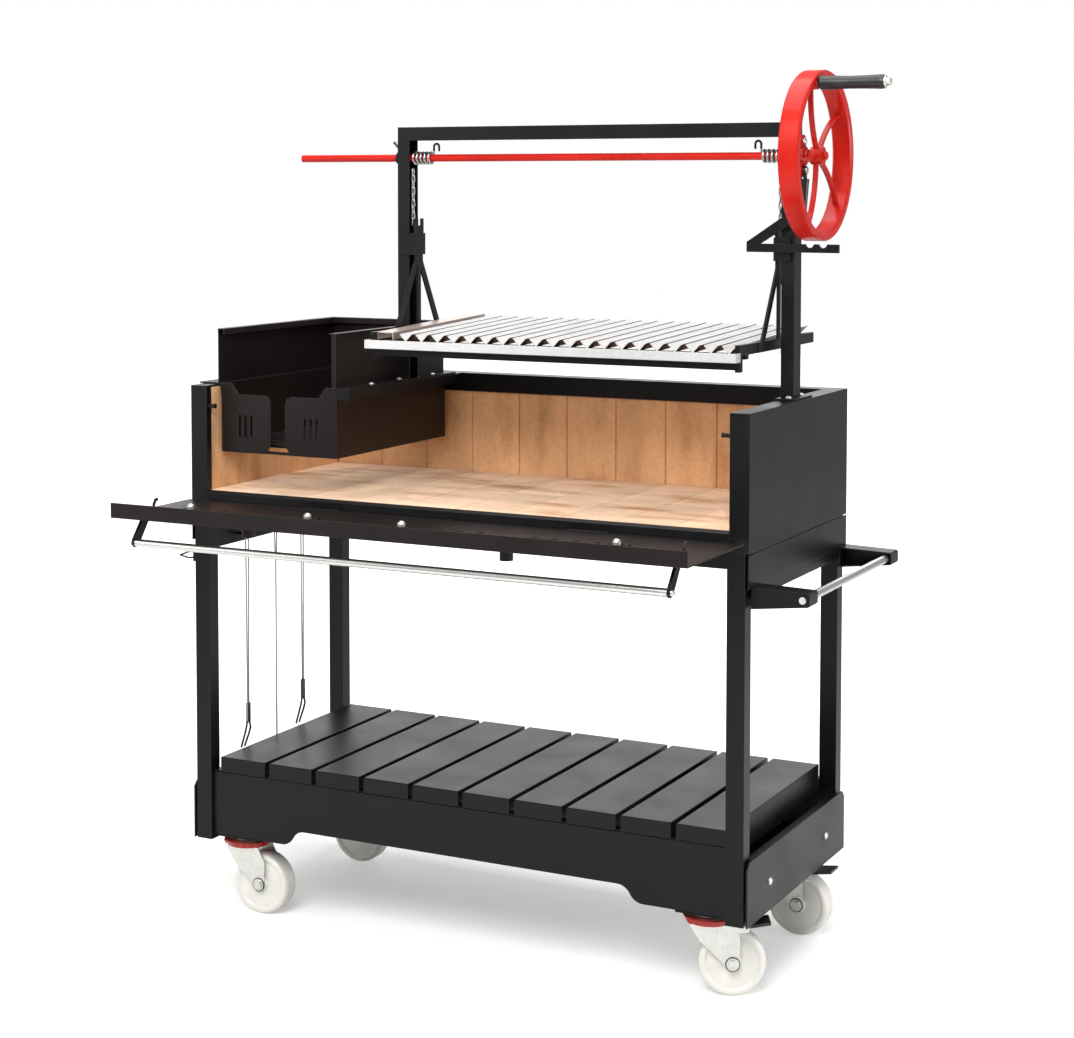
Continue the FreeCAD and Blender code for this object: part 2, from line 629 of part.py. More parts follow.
def basket_rail():
    """The box rail from the rear rim that carries the left post and the basket."""
    outer = box(RAIL_X0, RAIL_X1, RAIL_FRONT_Y, RIM_FACE, FIREBOX_TOP - 20, FIREBOX_TOP)
    wall = 2.5
    inner = box(RAIL_X0 + wall, RAIL_X1 - wall, RAIL_FRONT_Y + wall, RIM_FACE + 1,
                FIREBOX_TOP - 20 + wall, FIREBOX_TOP - wall)
    rail = outer.cut(inner)
    for side in (-1, 1):
        y = FRAME_Y + side * FOOT_BOLT_DY
        x = (RAIL_X0 + RAIL_X1) / 2
        rail = rail.cut(rod_z(x, y, FIREBOX_TOP - 5, FIREBOX_TOP + 1, 3.05))
    return rail


REST_Z, REST_LEFT, REST_RIGHT = 1375.0, 493.0, 675.0
NOTCH_X = (618.0, 644.0)


def spit_rest():
    """The notched bar in front of the right post, its slanting brace and the two lugs that hold it."""
    depth, height, notch_r = 6.0, 16.0, 8.5
    y1 = FRAME_Y - POST_Y / 2 - 8.0
    y0 = y1 - depth
    post_front = FRAME_Y - POST_Y / 2
    bar = box(REST_LEFT, REST_RIGHT, y0, y1, REST_Z - height, REST_Z)
    for x in NOTCH_X:
        bar = bar.cut(rod_y(x, y0 - 1, y1 + 1, REST_Z + 1.5, notch_r))
    post_x0 = RIGHT_POST_X1 - POST_X
    brace_top = REST_Z + 49
    outline = [
        (REST_LEFT, REST_Z - 1), (REST_LEFT, REST_Z + 3), (post_x0 + 4, brace_top), (post_x0 + 22, brace_top),
        (post_x0 + 22, brace_top - 12), (REST_LEFT + 26, REST_Z - 1),
    ]
    brace = plate([Vec(x, y0, z) for x, z in outline], Vec(0, depth, 0))
    top_lug = box(post_x0 + 4, post_x0 + 22, y1, post_front, brace_top - 10, brace_top)
    side_lug = box(RIGHT_POST_X1, RIGHT_POST_X1 + SHEET, y1 - 1, FRAME_Y + 8, REST_Z - height, REST_Z)
    return fused([bar, brace, top_lug, side_lug])


BEARING_BOLT_Z, EAR_R = 27.0, 13.0


def flange_bearing():
    """The two-bolt bearing between the right post and the wheel."""
    x0 = RIGHT_POST_X1
    body = rod_x(x0, x0 + 14, FRAME_Y, SHAFT_Z, 18.0)
    neck = rod_x(x0 + 14, x0 + 20, FRAME_Y, SHAFT_Z, 12.0)
    ears = [rod_x(x0, x0 + 10, FRAME_Y, SHAFT_Z + side * BEARING_BOLT_Z, EAR_R)
            for side in (-1, 1)]
    web = box(x0, x0 + 10, FRAME_Y - EAR_R, FRAME_Y + EAR_R,
              SHAFT_Z - BEARING_BOLT_Z, SHAFT_Z + BEARING_BOLT_Z)
    shape = fused([body, neck, web] + ears)
    for side in (-1, 1):
        z = SHAFT_Z + side * BEARING_BOLT_Z
        shape = shape.cut(rod_x(x0 - 1, x0 + 11, FRAME_Y, z, 4.05))
    return shape.cut(rod_x(x0 - 1, x0 + 30, FRAME_Y, SHAFT_Z, SHAFT_R + RUN))



BRAKE_X0, BRAKE_THICK = RIGHT_POST_X1 + 10.3, 5.0


def brake_lever():
    """The tapered grip hanging from the lower bearing bolt."""
    z = SHAFT_Z - BEARING_BOLT_Z
    x1 = BRAKE_X0 + BRAKE_THICK
    eye = rod_x(BRAKE_X0, x1, FRAME_Y, z, 8.5)
    stem = box(BRAKE_X0, x1, FRAME_Y - 4, FRAME_Y + 4, z - 24, z)
    grip_x = BRAKE_X0 + 1.0
    grip = Part.makeCone(9.5, 4.5, 68.0, Vec(grip_x, FRAME_Y, z - 16), Vec(0, 0, -1))
    tip = Part.makeSphere(4.5, Vec(grip_x, FRAME_Y, z - 16 - 68.0))
    lever = fused([eye, stem, grip, tip])
    return lever.cut(rod_x(BRAKE_X0 - 1, x1 + 1, FRAME_Y, z, 4.0 + RUN))


LOCK_X = LEFT_POST_X0 - COLLAR_LENGTH / 2
LOCK_SCREW_R = 3.0


def lock_lever():
    """The small clamp lever on top of the left collar."""
    top = SHAFT_Z + COLLAR_R
    tip = Vec(LOCK_X - 14, FRAME_Y, top + 19)
    screw = rod_z(LOCK_X, FRAME_Y, SHAFT_Z + SHAFT_R + 1.2, top + 2, LOCK_SCREW_R - RUN)
    hub = rod_z(LOCK_X, FRAME_Y, top + 0.5, top + 6, 3.9)
    handle = rod(Vec(LOCK_X, FRAME_Y, top + 4), tip, 2.4)
    knob = Part.makeSphere(3.0, tip)
    return fused([screw, hub, handle, knob])


# ---------------------------------------------------------------- winch
def winch_shaft():
    """The long shaft, with a clip groove outside the left collar."""
    shaft = rod_x(SHAFT_LEFT_X, SHAFT_RIGHT_X, FRAME_Y, SHAFT_Z, SHAFT_R)
    start = Vec(GROOVE_X, FRAME_Y, SHAFT_Z)
    end = Vec(GROOVE_X + 1.5, FRAME_Y, SHAFT_Z)
    groove = tube(start, end, SHAFT_R + 1, SHAFT_R - 0.8)
    return shaft.cut(groove)


CHAIN_OUT = 5.5
CHAIN_X = (LEFT_POST_X0 + POST_X + CHAIN_OUT, RIGHT_POST_X1 - POST_X - CHAIN_OUT)
GROOVE_X = LEFT_POST_X0 - COLLAR_LENGTH - 3.0
WRAP_TURNS, WRAP_STEP, WRAP_WIRE = 5, 9.0, 3.0
HOOK_WIRE, HOOK_BEND, HOOK_RISE = 2.2, 6.0, 23.0
CHAIN_PIN_R, CHAIN_PIN_REACH = 0.9, 4.0


def shaft_hook(x, side):
    """An open hook standing on the shaft."""
    low = SHAFT_Z + SHAFT_R + 0.3
    bend_z = SHAFT_Z + HOOK_RISE
    tip_x = x + side * 2 * HOOK_BEND
    first = rod_z(x, FRAME_Y, low, bend_z, HOOK_WIRE)
    ring = Part.makeTorus(HOOK_BEND, HOOK_WIRE, Vec(x + side * HOOK_BEND, FRAME_Y, bend_z), Y_AXIS)
    upper_half = box(x - 20, x + 20, FRAME_Y - 5, FRAME_Y + 5, bend_z, bend_z + 10)
    last = rod_z(tip_x, FRAME_Y, bend_z - 10, bend_z, HOOK_WIRE)
    return fused([first, ring.common(upper_half), last])


def chain_wraps():
    """Turns of chain on the shaft at each end, and the two hooks beside them."""
    pieces = []
    for chain_x, side in zip(CHAIN_X, (1, -1)):
        for turn in range(WRAP_TURNS):
            x = chain_x + side * turn * WRAP_STEP
            middle = Vec(x, FRAME_Y, SHAFT_Z)
            pieces.append(Part.makeTorus(SHAFT_R + WRAP_WIRE + 0.2, WRAP_WIRE, middle, X_AXIS))
        pieces.append(shaft_hook(chain_x + side * (WRAP_TURNS * WRAP_STEP - 1.5), side))
    return group(pieces)


def spoke(angle):
    """One bowed spoke, swept along an arc from the hub to the rim."""
    turn = math.radians(angle)
    out = Vec(0, math.cos(turn), math.sin(turn))
    across = Vec(0, -math.sin(turn), math.cos(turn))
    hub_x = (RIM_X0 + RIM_X1) / 2
    centre = Vec(hub_x, FRAME_Y, SHAFT_Z)
    bow = 13.0
    start = centre.add(Vec(out).multiply(12))
    middle = centre.add(Vec(out).multiply(84)).add(Vec(across).multiply(bow))
    end = centre.add(Vec(out).multiply(WHEEL_R - RIM_THICK + 4))
    path = Part.Wire([Part.Arc(start, middle, end).toShape()])
    tangent = path.Edges[0].tangentAt(path.Edges[0].FirstParameter)
    side_way = X_AXIS.cross(tangent)
    width, thick = 6.5, 9.0
    corners = []
    for a, b in ((-1, -1), (1, -1), (1, 1), (-1, 1)):
        corner = start.add(Vec(side_way).multiply(a * width / 2)).add(Vec(X_AXIS).multiply(b * thick / 2))
        corners.append(corner)
    section = Part.Face(Part.makePolygon(corners + [corners[0]]))
    return path.makePipe(section).Solids[0]


def crank_centre():
    turn = math.radians(CRANK_ANGLE)
    return FRAME_Y + CRANK_R * math.cos(turn), SHAFT_Z + CRANK_R * math.sin(turn)


CRANK_BOSS_X1 = RIM_X1 - 1.0
GRIP_X0, GRIP_X1 = RIM_X1 + 1.0, 765.0
CRANK_END_X = GRIP_X1 + 12.0


def handwheel():
    """Rim, five bowed spokes, hub and the boss for the crank."""
    inner = WHEEL_R - RIM_THICK
    section = [
        (RIM_X0, inner + 4), (RIM_X0 + 3, inner), (RIM_X1 - 3, inner), (RIM_X1, inner + 4),
        (RIM_X1, WHEEL_R - 2), (RIM_X1 - 3, WHEEL_R), (RIM_X0 + 3, WHEEL_R), (RIM_X0, WHEEL_R - 2),
    ]
    rim = revolve_about_x(section, FRAME_Y, SHAFT_Z)
    hub = rod_x(RIM_X0 + 10, RIM_X1 - 6, FRAME_Y, SHAFT_Z, 17.0)
    spokes = [spoke(SPOKE_ANGLE + index * 360 / SPOKE_COUNT) for index in range(SPOKE_COUNT)]
    y, z = crank_centre()
    boss = rod_x(RIM_X0 + 4, CRANK_BOSS_X1, y, z, 12.0)
    wheel = fused([rim, hub, boss] + spokes)
    wheel = wheel.cut(rod_x(RIM_X0, RIM_X1, FRAME_Y, SHAFT_Z, SHAFT_R + 0.02))
    return wheel.cut(rod_x(RIM_X0, RIM_X1, y, z, 5.02))


def crank_spindle():
    """The bolt the grip turns on."""
    y, z = crank_centre()
    bolt = rod_x(RIM_X0 + 4, GRIP_X1 + 2, y, z, 5.0)
    washer = rod_x(GRIP_X1 + 0.5, GRIP_X1 + 3, y, z, 11.0)
    nut = rod_x(GRIP_X1 + 3, CRANK_END_X, y, z, 7.5)
    nut = nut.makeChamfer(2.0, [e for e in nut.Edges if abs(e.CenterOfMass.x - CRANK_END_X) < 0.01])
    return fused([bolt, washer, nut])


def crank_grip():
    """The waisted handle, free to spin on the spindle."""
    y, z = crank_centre()
    length = GRIP_X1 - GRIP_X0
    profile = [(GRIP_X0, 5.0 + RUN), (GRIP_X0, 9.0), (GRIP_X0 + 4, 13.0), (GRIP_X0 + 0.2 * length, 13.0),
               (GRIP_X0 + 0.45 * length, 11.8), (GRIP_X0 + 0.7 * length, 12.2), (GRIP_X1 - 6, 13.4),
               (GRIP_X1, 12.6), (GRIP_X1, 5.0 + RUN)]
    return revolve_about_x(profile, y, z)


# ---------------------------------------------------------------- lift: carriages and grate
SLEEVE_LOW, SLEEVE_HIGH, TAB_HIGH = 1342.0, 1386.0, 1416.0
SLEEVE_GAP, GUIDE_GAP = 3.0, 1.0
SLEEVE_INNER_X = LEFT_POST_X0 + POST_X + 14.0
CHAIN_Y = FRAME_Y - SHAFT_R - WRAP_WIRE
CHAIN_BOLT_Z = TAB_HIGH - 12.0


def lift_sleeve():
    """A folded slider round the open side of the left post, with a guide block inside the channel."""
    x1 = SLEEVE_INNER_X
    y0 = FRAME_Y - POST_Y / 2 - SLEEVE_GAP
    y1 = FRAME_Y + POST_Y / 2 + SLEEVE_GAP
    front = box(LEFT_POST_X0 + 7, x1, y0 - SHEET, y0, SLEEVE_LOW, SLEEVE_HIGH)
    back = box(LEFT_POST_X0 + 7, x1, y1, y1 + SHEET, SLEEVE_LOW, SLEEVE_HIGH)
    side = box(x1 - SHEET, x1, y0 - SHEET, y1 + SHEET, SLEEVE_LOW, SLEEVE_HIGH)
    tab = box(x1 - SHEET, x1, FRAME_Y - 18, FRAME_Y + 18, SLEEVE_HIGH, TAB_HIGH)
    inset = POST_WALL + GUIDE_GAP
    half_block = POST_Y / 2 - inset
    block = box(LEFT_POST_X0 + inset, x1 - SHEET, FRAME_Y - half_block, FRAME_Y + half_block,
                SLEEVE_LOW, SLEEVE_HIGH)
    notch = box(x1 - SHEET - 1, x1 + 1, FRAME_Y - 4, FRAME_Y + 8, TAB_HIGH - 14, TAB_HIGH + 1)
    sleeve = fused([front, back, side, tab, block]).cut(notch)
    pin_end = Vec(CHAIN_X[0] - CHAIN_PIN_REACH, CHAIN_Y, CHAIN_BOLT_Z)
    return fused([sleeve, rod(Vec(x1, CHAIN_Y, CHAIN_BOLT_Z), pin_end, CHAIN_PIN_R)])


def lift_sleeves():
    left = lift_sleeve()
    return group([left, mirror_x(left, FRAME_MID_X)])


STRUT_APEX_Z = SLEEVE_LOW + 2.0
STRUT_FOOT_FRONT, STRUT_FOOT_REAR = -72.0, 114.0
STRUT_THICK, STRUT_WIDTH = 4.0, 15.0


def lift_struts():
    """On each side a hanger bar and two slanting straps from the sleeve down to the grate arm."""
    x0 = GRATE_X0 - STRUT_THICK
    hanger = box(x0, GRATE_X0 + 1, FRAME_Y - 5.5, FRAME_Y + 5.5, ARM_HIGH, STRUT_APEX_Z - 2)
    top_lap = box(x0, GRATE_X0 + 1, FRAME_Y - 14, FRAME_Y + 14, STRUT_APEX_Z - 20, STRUT_APEX_Z - 2)
    pieces = [hanger, top_lap]
    foot_z = ARM_LOW + 4
    for foot in (STRUT_FOOT_FRONT, STRUT_FOOT_REAR):
        run = foot - FRAME_Y
        drop = STRUT_APEX_Z - foot_z
        half = STRUT_WIDTH / 2 * math.hypot(run, drop) / drop
        apex_z = STRUT_APEX_Z - 2
        outline = [(FRAME_Y - half, apex_z), (FRAME_Y + half, apex_z), (foot + half, foot_z), (foot - half, foot_z)]
        pieces.append(plate([Vec(x0, y, z) for y, z in outline], Vec(STRUT_THICK, 0, 0)))
    left = fused(pieces)
    return group([left, mirror_x(left, FRAME_MID_X)])


CROSS_LOW = 1148.0
SIDE_RAIL_WIDTH = 36.0
VEE_Y0, VEE_Y1 = GRATE_Y0 + 10, GRATE_Y1 - 2
GUTTER_LOW, GUTTER_HIGH = 1163.0, 1180.0
GUTTER_DEPTH = 22.0
FIRST_VEE_X = GRATE_X1 - ARM_WIDTH - VEE_WIDTH / 2 - 1.0 - (VEE_COUNT - 1) * VEE_PITCH


def vee_bottom(y):
    """Height of the lowest line of the channels, which rise to the rear."""
    return ARM_HIGH - 3 - VEE_DEPTH + VEE_RISE * (y - VEE_Y0) / (VEE_Y1 - VEE_Y0)


def grate_arms():
    """The black frame under the grate: two side arms with drop plates and the cross bars between them."""
    arm = box(GRATE_X0, GRATE_X0 + ARM_WIDTH, GRATE_Y0, GRATE_Y1, ARM_LOW, ARM_HIGH)
    drop = box(GRATE_X0, GRATE_X0 + ARM_WIDTH, GRATE_Y0, GRATE_Y0 + 14, CROSS_LOW - 4, ARM_LOW)
    left = fused([arm, drop])
    inner0, inner1 = GRATE_X0 + ARM_WIDTH, GRATE_X1 - ARM_WIDTH
    front_bar = box(inner0, inner1, GRATE_Y0, GRATE_Y0 + 12, CROSS_LOW, CROSS_LOW + 12)
    bar_y = GRATE_Y0 + 30
    middle_bar = box(inner0, inner1, bar_y, bar_y + 12, ARM_LOW - 8, vee_bottom(bar_y) - 0.3)
    rear_bar = box(inner0, inner1, GRATE_Y1 - 14, GRATE_Y1 - 2, ARM_LOW, vee_bottom(GRATE_Y1 - 14) - 0.3)
    lug = box(GRATE_X0, GRATE_X0 + ARM_WIDTH, GRATE_Y0 + 28, GRATE_Y0 + 44, ARM_LOW - 8, ARM_LOW)
    return fused([left, mirror_x(left, FRAME_MID_X), front_bar, middle_bar, rear_bar, lug,
                  mirror_x(lug, FRAME_MID_X)])


def vee_channels():
    """The stainless channels, open upwards, that the food lies on."""
    along = Vec(0, VEE_Y1 - VEE_Y0, VEE_RISE)
    low = vee_bottom(VEE_Y0)
    lift = VEE_WALL * math.sqrt(2)
    half = VEE_WIDTH / 2
    channels = []
    for index in range(VEE_COUNT):
        middle = FIRST_VEE_X + index * VEE_PITCH
        outline = [
            (0, 0), (half, VEE_DEPTH), (half - lift, VEE_DEPTH), (0, lift), (lift - half, VEE_DEPTH), (-half, VEE_DEPTH),
        ]
        channels.append(plate([Vec(middle + x, VEE_Y0, low + z) for x, z in outline], along))
    return group(channels)


def grate_frame():
    """The wide stainless rail at the left, the end strip at the rear and the gutter along the front."""
    inner0 = GRATE_X0 + ARM_WIDTH
    top0, top1 = vee_bottom(VEE_Y0) + VEE_DEPTH, vee_bottom(VEE_Y1) + VEE_DEPTH
    outline = [(VEE_Y0, top0 - 12), (VEE_Y0, top0 + 3), (VEE_Y1, top1 + 3), (VEE_Y1, top1 - 12)]
    outer = plate([Vec(inner0, y, z) for y, z in outline], Vec(SIDE_RAIL_WIDTH, 0, 0))
    between_lips = box(inner0 + 2, inner0 + SIDE_RAIL_WIDTH - 2, VEE_Y0 - 1, VEE_Y1 + 1, 0, BEAM_TOP)
    rail = outer.cut(moved(outer, z=-2).common(between_lips))
    x0, x1 = GRATE_X0 - 1, GRATE_X1 + 1
    y1 = GRATE_Y0 - 0.3
    y0 = y1 - GUTTER_DEPTH
    floor = box(x0, x1, y0, y1, GUTTER_LOW, GUTTER_LOW + 2)
    front = box(x0, x1, y0, y0 + 2, GUTTER_LOW, GUTTER_HIGH)
    back = box(x0, x1, y1 - 2, y1, GUTTER_LOW, vee_bottom(VEE_Y0) - 0.5)
    ends = [box(x, x + 2, y0, y1, GUTTER_LOW, GUTTER_HIGH) for x in (x0, x1 - 2)]
    return group([rail, fused([floor, front, back] + ends)])


LINK_WIRE, LINK_LENGTH, LINK_WIDTH = 1.5, 11.8, 7.0


def chain_link(x, z, turned):
    """One oval link standing upright."""
    half_w = (LINK_WIDTH - LINK_WIRE) / 2
    centre_low, centre_high = z, z + LINK_LENGTH - LINK_WIRE
    sides = [rod_z(x + s * half_w, CHAIN_Y, centre_low, centre_high, LINK_WIRE)
             for s in (-1, 1)]
    top = Part.makeTorus(half_w, LINK_WIRE, Vec(x, CHAIN_Y, centre_high), Y_AXIS)
    top = top.common(box(x - 20, x + 20, CHAIN_Y - 5, CHAIN_Y + 5, centre_high, centre_high + 10))
    low = Part.makeTorus(half_w, LINK_WIRE, Vec(x, CHAIN_Y, centre_low), Y_AXIS)
    low = low.common(box(x - 20, x + 20, CHAIN_Y - 5, CHAIN_Y + 5, centre_low - 10, centre_low))
    link = fused(sides + [top, low])
    if turned:
        link.rotate(Vec(x, CHAIN_Y, 0), Z_AXIS, 90)
    return link


CHAIN_TOP = SHAFT_Z - 12.0


def lift_chains():
    """The hanging length of chain at each side, from the wraps down to the sleeve tab."""
    inner_length = LINK_LENGTH - LINK_WIRE + 2 * ((LINK_WIDTH - LINK_WIRE) / 2) - 2 * LINK_WIRE
    start = CHAIN_BOLT_Z + 0.2
    count = int((CHAIN_TOP - start) / (inner_length - 0.2))
    links = []
    for x in CHAIN_X:
        for index in range(count):
            links.append(chain_link(x, start + index * (inner_length - 0.2), index % 2 == 0))
    return group(links)


# ---------------------------------------------------------------- wood basket
STEP_TOP = 1062.0
WING_GAP = (-438.0, -403.0)


def basket_front_wing(outer_x, gap_x, lean):
    """One half of the basket front, with its stepped top and a plain slot."""
    way = 1 if gap_x > outer_x else -1
    low, top = BASKET_LOW, FIREBOX_TOP + SHEET
    points = [
        (outer_x, top), (outer_x + way * 26, top),
        (outer_x + way * 43, STEP_TOP), (gap_x - way * 14, STEP_TOP),
        (gap_x - way * 4, STEP_TOP - 4), (gap_x, STEP_TOP - 14), (gap_x, low + 20), (gap_x - way * 12, low),
        (outer_x + way * lean, low),
    ]
    outline = [Vec(x, BASKET_Y0, z) for x, z in points]
    wing = plate(outline, Vec(0, -SHEET, 0))
    middle = (outer_x + gap_x) / 2
    for shift in (-14, 0, 14):
        slot_x = middle + shift
        for piece in (box(slot_x - 3, slot_x + 3, BASKET_Y0 - 4, BASKET_Y0 + 1, low + 34, low + 74),
                      rod_y(slot_x, BASKET_Y0 - 4, BASKET_Y0 + 1, low + 34, 3.0),
                      rod_y(slot_x, BASKET_Y0 - 4, BASKET_Y0 + 1, low + 74, 3.0)):
            wing = wing.cut(piece)
    return wing


def wood_basket():
    """The hanging fire basket: two front wings, side and back sheets, and the flanges it hangs by."""
    left_wing = basket_front_wing(BASKET_X0, WING_GAP[0], 7)
    right_wing = basket_front_wing(BASKET_X1, WING_GAP[1], 0)
    left = box(BASKET_X0, BASKET_X0 + SHEET, BASKET_Y0, BASKET_Y1, BASKET_LOW, FIREBOX_TOP + SHEET)
    right = box(BASKET_X1 - SHEET, BASKET_X1, BASKET_Y0, BASKET_Y1, BASKET_LOW, FIREBOX_TOP + SHEET)
    back = box(BASKET_X0, BASKET_X1, BASKET_Y1 - SHEET, BASKET_Y1, BASKET_LOW, FIREBOX_TOP + SHEET)
    sill = box(BASKET_X0, BASKET_X1, BASKET_Y0, BASKET_Y0 + 20, BASKET_LOW, BASKET_LOW + SHEET)
    left_flange = box(LEFT_FLANGE_X, BASKET_X0, BASKET_Y0, BASKET_Y1, FIREBOX_TOP, FIREBOX_TOP + SHEET)
    foot_y0 = FRAME_Y - FOOT_LENGTH / 2 - 2
    foot_y1 = FRAME_Y + FOOT_LENGTH / 2 + 2
    flanges = [box(BASKET_X1, RAIL_X1 - 4, y0, y1, FIREBOX_TOP, FIREBOX_TOP + SHEET)
               for y0, y1 in ((BASKET_Y0, foot_y0), (foot_y1, BASKET_Y1))]
    shape = fused([left_wing, right_wing, left, right, back, sill, left_flange] + flanges)
    for y in BASKET_BOLT_Y:
        shape = shape.cut(rod_z(BASKET_BOLT_X, y, FIREBOX_TOP - 1, FIREBOX_TOP + 4, 3.05))
    return shape


BASKET_BAR_COUNT, BASKET_BAR_R = 11, 5.0


def basket_bars():
    """The round bars across the basket that the logs lie on."""
    pitch = (BASKET_Y1 - BASKET_Y0 - 40) / (BASKET_BAR_COUNT - 1)
    bars = []
    for index in range(BASKET_BAR_COUNT):
        y = BASKET_Y0 + 20 + index * pitch
        bars.append(rod_x(BASKET_X0 + SHEET, BASKET_X1 - SHEET, y, BASKET_LOW + 16, BASKET_BAR_R))
    return group(bars)


HEM_IN, HEM_DOWN, GUARD_STEP = 15.0, 12.0, 8.0


def basket_guard():
    """The three-sided guard standing on the basket, its top edge folded inwards."""
    low, top = FIREBOX_TOP + SHEET, GUARD_TOP
    x0 = BASKET_X0 - GUARD_STEP
    left = box(x0, x0 + 2, BASKET_Y0, BASKET_Y1, low, top)
    left_hem = box(x0, x0 + HEM_IN, BASKET_Y0, BASKET_Y1, top - 2, top)
    left_fold = box(x0 + HEM_IN - 2, x0 + HEM_IN, BASKET_Y0, BASKET_Y1, top - HEM_DOWN, top)
    back = box(x0, BASKET_X1 - SHEET, BASKET_Y1 - 2, BASKET_Y1, low, top)
    back_hem = box(x0, BASKET_X1 - SHEET, BASKET_Y1 - HEM_IN, BASKET_Y1, top - 2, top)
    back_fold = box(x0, BASKET_X1 - SHEET, BASKET_Y1 - HEM_IN, BASKET_Y1 - HEM_IN + 2, top - HEM_DOWN, top)
    right_x = BASKET_X1 - SHEET
    right = box(right_x - 2, right_x, BASKET_Y0, BASKET_Y1, low, top - 2)
    right_hem = box(right_x - HEM_IN, right_x, BASKET_Y0, BASKET_Y1, top - 4, top - 2)
    right_return = box(right_x - 10, right_x, BASKET_Y0, BASKET_Y0 + 2, low, top - 2)
    return fused([left, left_hem, left_fold, back, back_hem, back_fold, right, right_hem, right_return])


# ---------------------------------------------------------------- side handle, hooks, tools
BRACKET_OUT, BRACKET_DEPTH = 710.0, 44.0
BRACKET_FRONT_Y, BRACKET_REAR_Y = -254.0, 268.0
SIDE_BAR_X, SIDE_BAR_Z, SIDE_BAR_R = 697.0, 753.0, 8.0
SIDE_BOLT_R = 3.0


def side_bracket(outer_y, inward):
    """A tapered channel with its web outside, open towards the other bracket."""
    root_low, root_high, tip_low, tip_high, bevel = 729.0, 769.0, 741.0, 766.0, 3.0
    outline = [(HALF_W, root_low), (HALF_W, CRADLE_BOTTOM), (HALF_W + COVER, CRADLE_BOTTOM),
               (HALF_W + COVER, root_high), (BRACKET_OUT - bevel, tip_high), (BRACKET_OUT, tip_high - bevel),
               (BRACKET_OUT, tip_low + bevel), (BRACKET_OUT - bevel, tip_low)]
    inside = [(HALF_W + COVER + SHEET, root_low + SHEET), (HALF_W + COVER + SHEET, root_high - SHEET),
              (BRACKET_OUT - SHEET, tip_high - SHEET), (BRACKET_OUT - SHEET, tip_low + SHEET)]
    block = plate([Vec(x, outer_y, z) for x, z in outline], Vec(0, inward * BRACKET_DEPTH, 0))
    floor_y = outer_y + inward * SHEET
    hollow = plate([Vec(x, floor_y, z) for x, z in inside], Vec(0, inward * BRACKET_DEPTH, 0))
    hole = rod_y(SIDE_BAR_X, outer_y - 5, outer_y + 5, SIDE_BAR_Z, SIDE_BOLT_R + RUN)
    return block.cut(hollow).cut(hole)


def side_handle_brackets():
    """The two brackets on the right-hand side of the cart."""
    return group([side_bracket(BRACKET_FRONT_Y, 1), side_bracket(BRACKET_REAR_Y, -1)])


def side_handle_bar():
    """The stainless tube between the webs of the two brackets."""
    start = Vec(SIDE_BAR_X, BRACKET_FRONT_Y + SHEET, SIDE_BAR_Z)
    end = Vec(SIDE_BAR_X, BRACKET_REAR_Y - SHEET, SIDE_BAR_Z)
    return tube(start, end, SIDE_BAR_R, SIDE_BOLT_R + RUN)


TOOL_X = -557.0
TOOL_Y = (-140.0, -33.0, 70.0)
TOOL_HOOK_Z = 762.0
PEG_R = 3.0
LOOP_WIRE = 1.8
SIDE_HOOK_REACH = 40.0
TINE_R, TINE_SPREAD = 2.2, 8.0


def tool_hooks():
    """Three pegs on the left inner rail, and the small wire loop outside the left front leg."""
    pegs = []
    for y in TOOL_Y:
        stem = rod_x(-HALF_W + RAIL_WIDTH, TOOL_X + 9, y, TOOL_HOOK_Z, PEG_R)
        cap = rod_x(TOOL_X + 9, TOOL_X + 11, y, TOOL_HOOK_Z, 6.0)
        pegs.append(fused([stem, cap]))
    y = -HALF_D + 8
    tip_x = -HALF_W - SIDE_HOOK_REACH + LOOP_WIRE
    backing = box(-HALF_W - 2, -HALF_W + LEG_INSET, y - 6, y + 6, 721, 747)
    wire = bent_rod([Vec(-HALF_W - 1, y, 740), Vec(-HALF_W - 18, y, 738), Vec(tip_x, y, 730),
                     Vec(-HALF_W - 18, y, 726), Vec(-HALF_W - 1, y, 728)], LOOP_WIRE)
    return group(pegs + [fused([backing, wire])])


def tool_handle(y, neck_z):
    """A loop on the peg and two thin wires down to the neck."""
    ring_r = PEG_R + LOOP_WIRE + 0.08
    loop = Part.makeTorus(ring_r, LOOP_WIRE, Vec(TOOL_X, y, TOOL_HOOK_Z), X_AXIS)
    pieces = [loop]
    for side in (-1, 1):
        top = Vec(TOOL_X, y + side * ring_r, TOOL_HOOK_Z - 0.5)
        bottom = Vec(TOOL_X, y + side * 2.2, neck_z)
        pieces.append(rod(top, bottom, LOOP_WIRE - 0.2))
    return pieces


def fork(y, neck_z, tip_z):
    """A long fork: a wire handle, a flat neck and two tines bent to the side."""
    neck_low = neck_z - 38
    neck = box(TOOL_X - 2.5, TOOL_X + 2.5, y - 5.5, y + 5.5, neck_low, neck_z + 3)
    tines = []
    for side in (-1, 1):
        path = [
            Vec(TOOL_X, y + side * 3.4, neck_low + 3),
            Vec(TOOL_X, y + side * TINE_SPREAD, neck_low - 12),
            Vec(TOOL_X - 4, y + side * TINE_SPREAD, neck_low - 26),
            Vec(TOOL_X - 14, y + side * 6, tip_z),
        ]
        tines.append(bent_rod(path, TINE_R))
    return fused(tool_handle(y, neck_z) + [neck] + tines)


def poker(y):
    """A thin straight poker with a bent tip."""
    neck_z, tip_z = 700.0, 300.0
    neck = box(TOOL_X - 2.2, TOOL_X + 2.2, y - 4, y + 4, neck_z - 6, neck_z + 4)
    path = [Vec(TOOL_X, y, neck_z - 4), Vec(TOOL_X, y, tip_z + 14), Vec(TOOL_X, y + 10, tip_z)]
    shaft = bent_rod(path, 1.7)
    return fused(tool_handle(y, neck_z) + [neck, shaft])


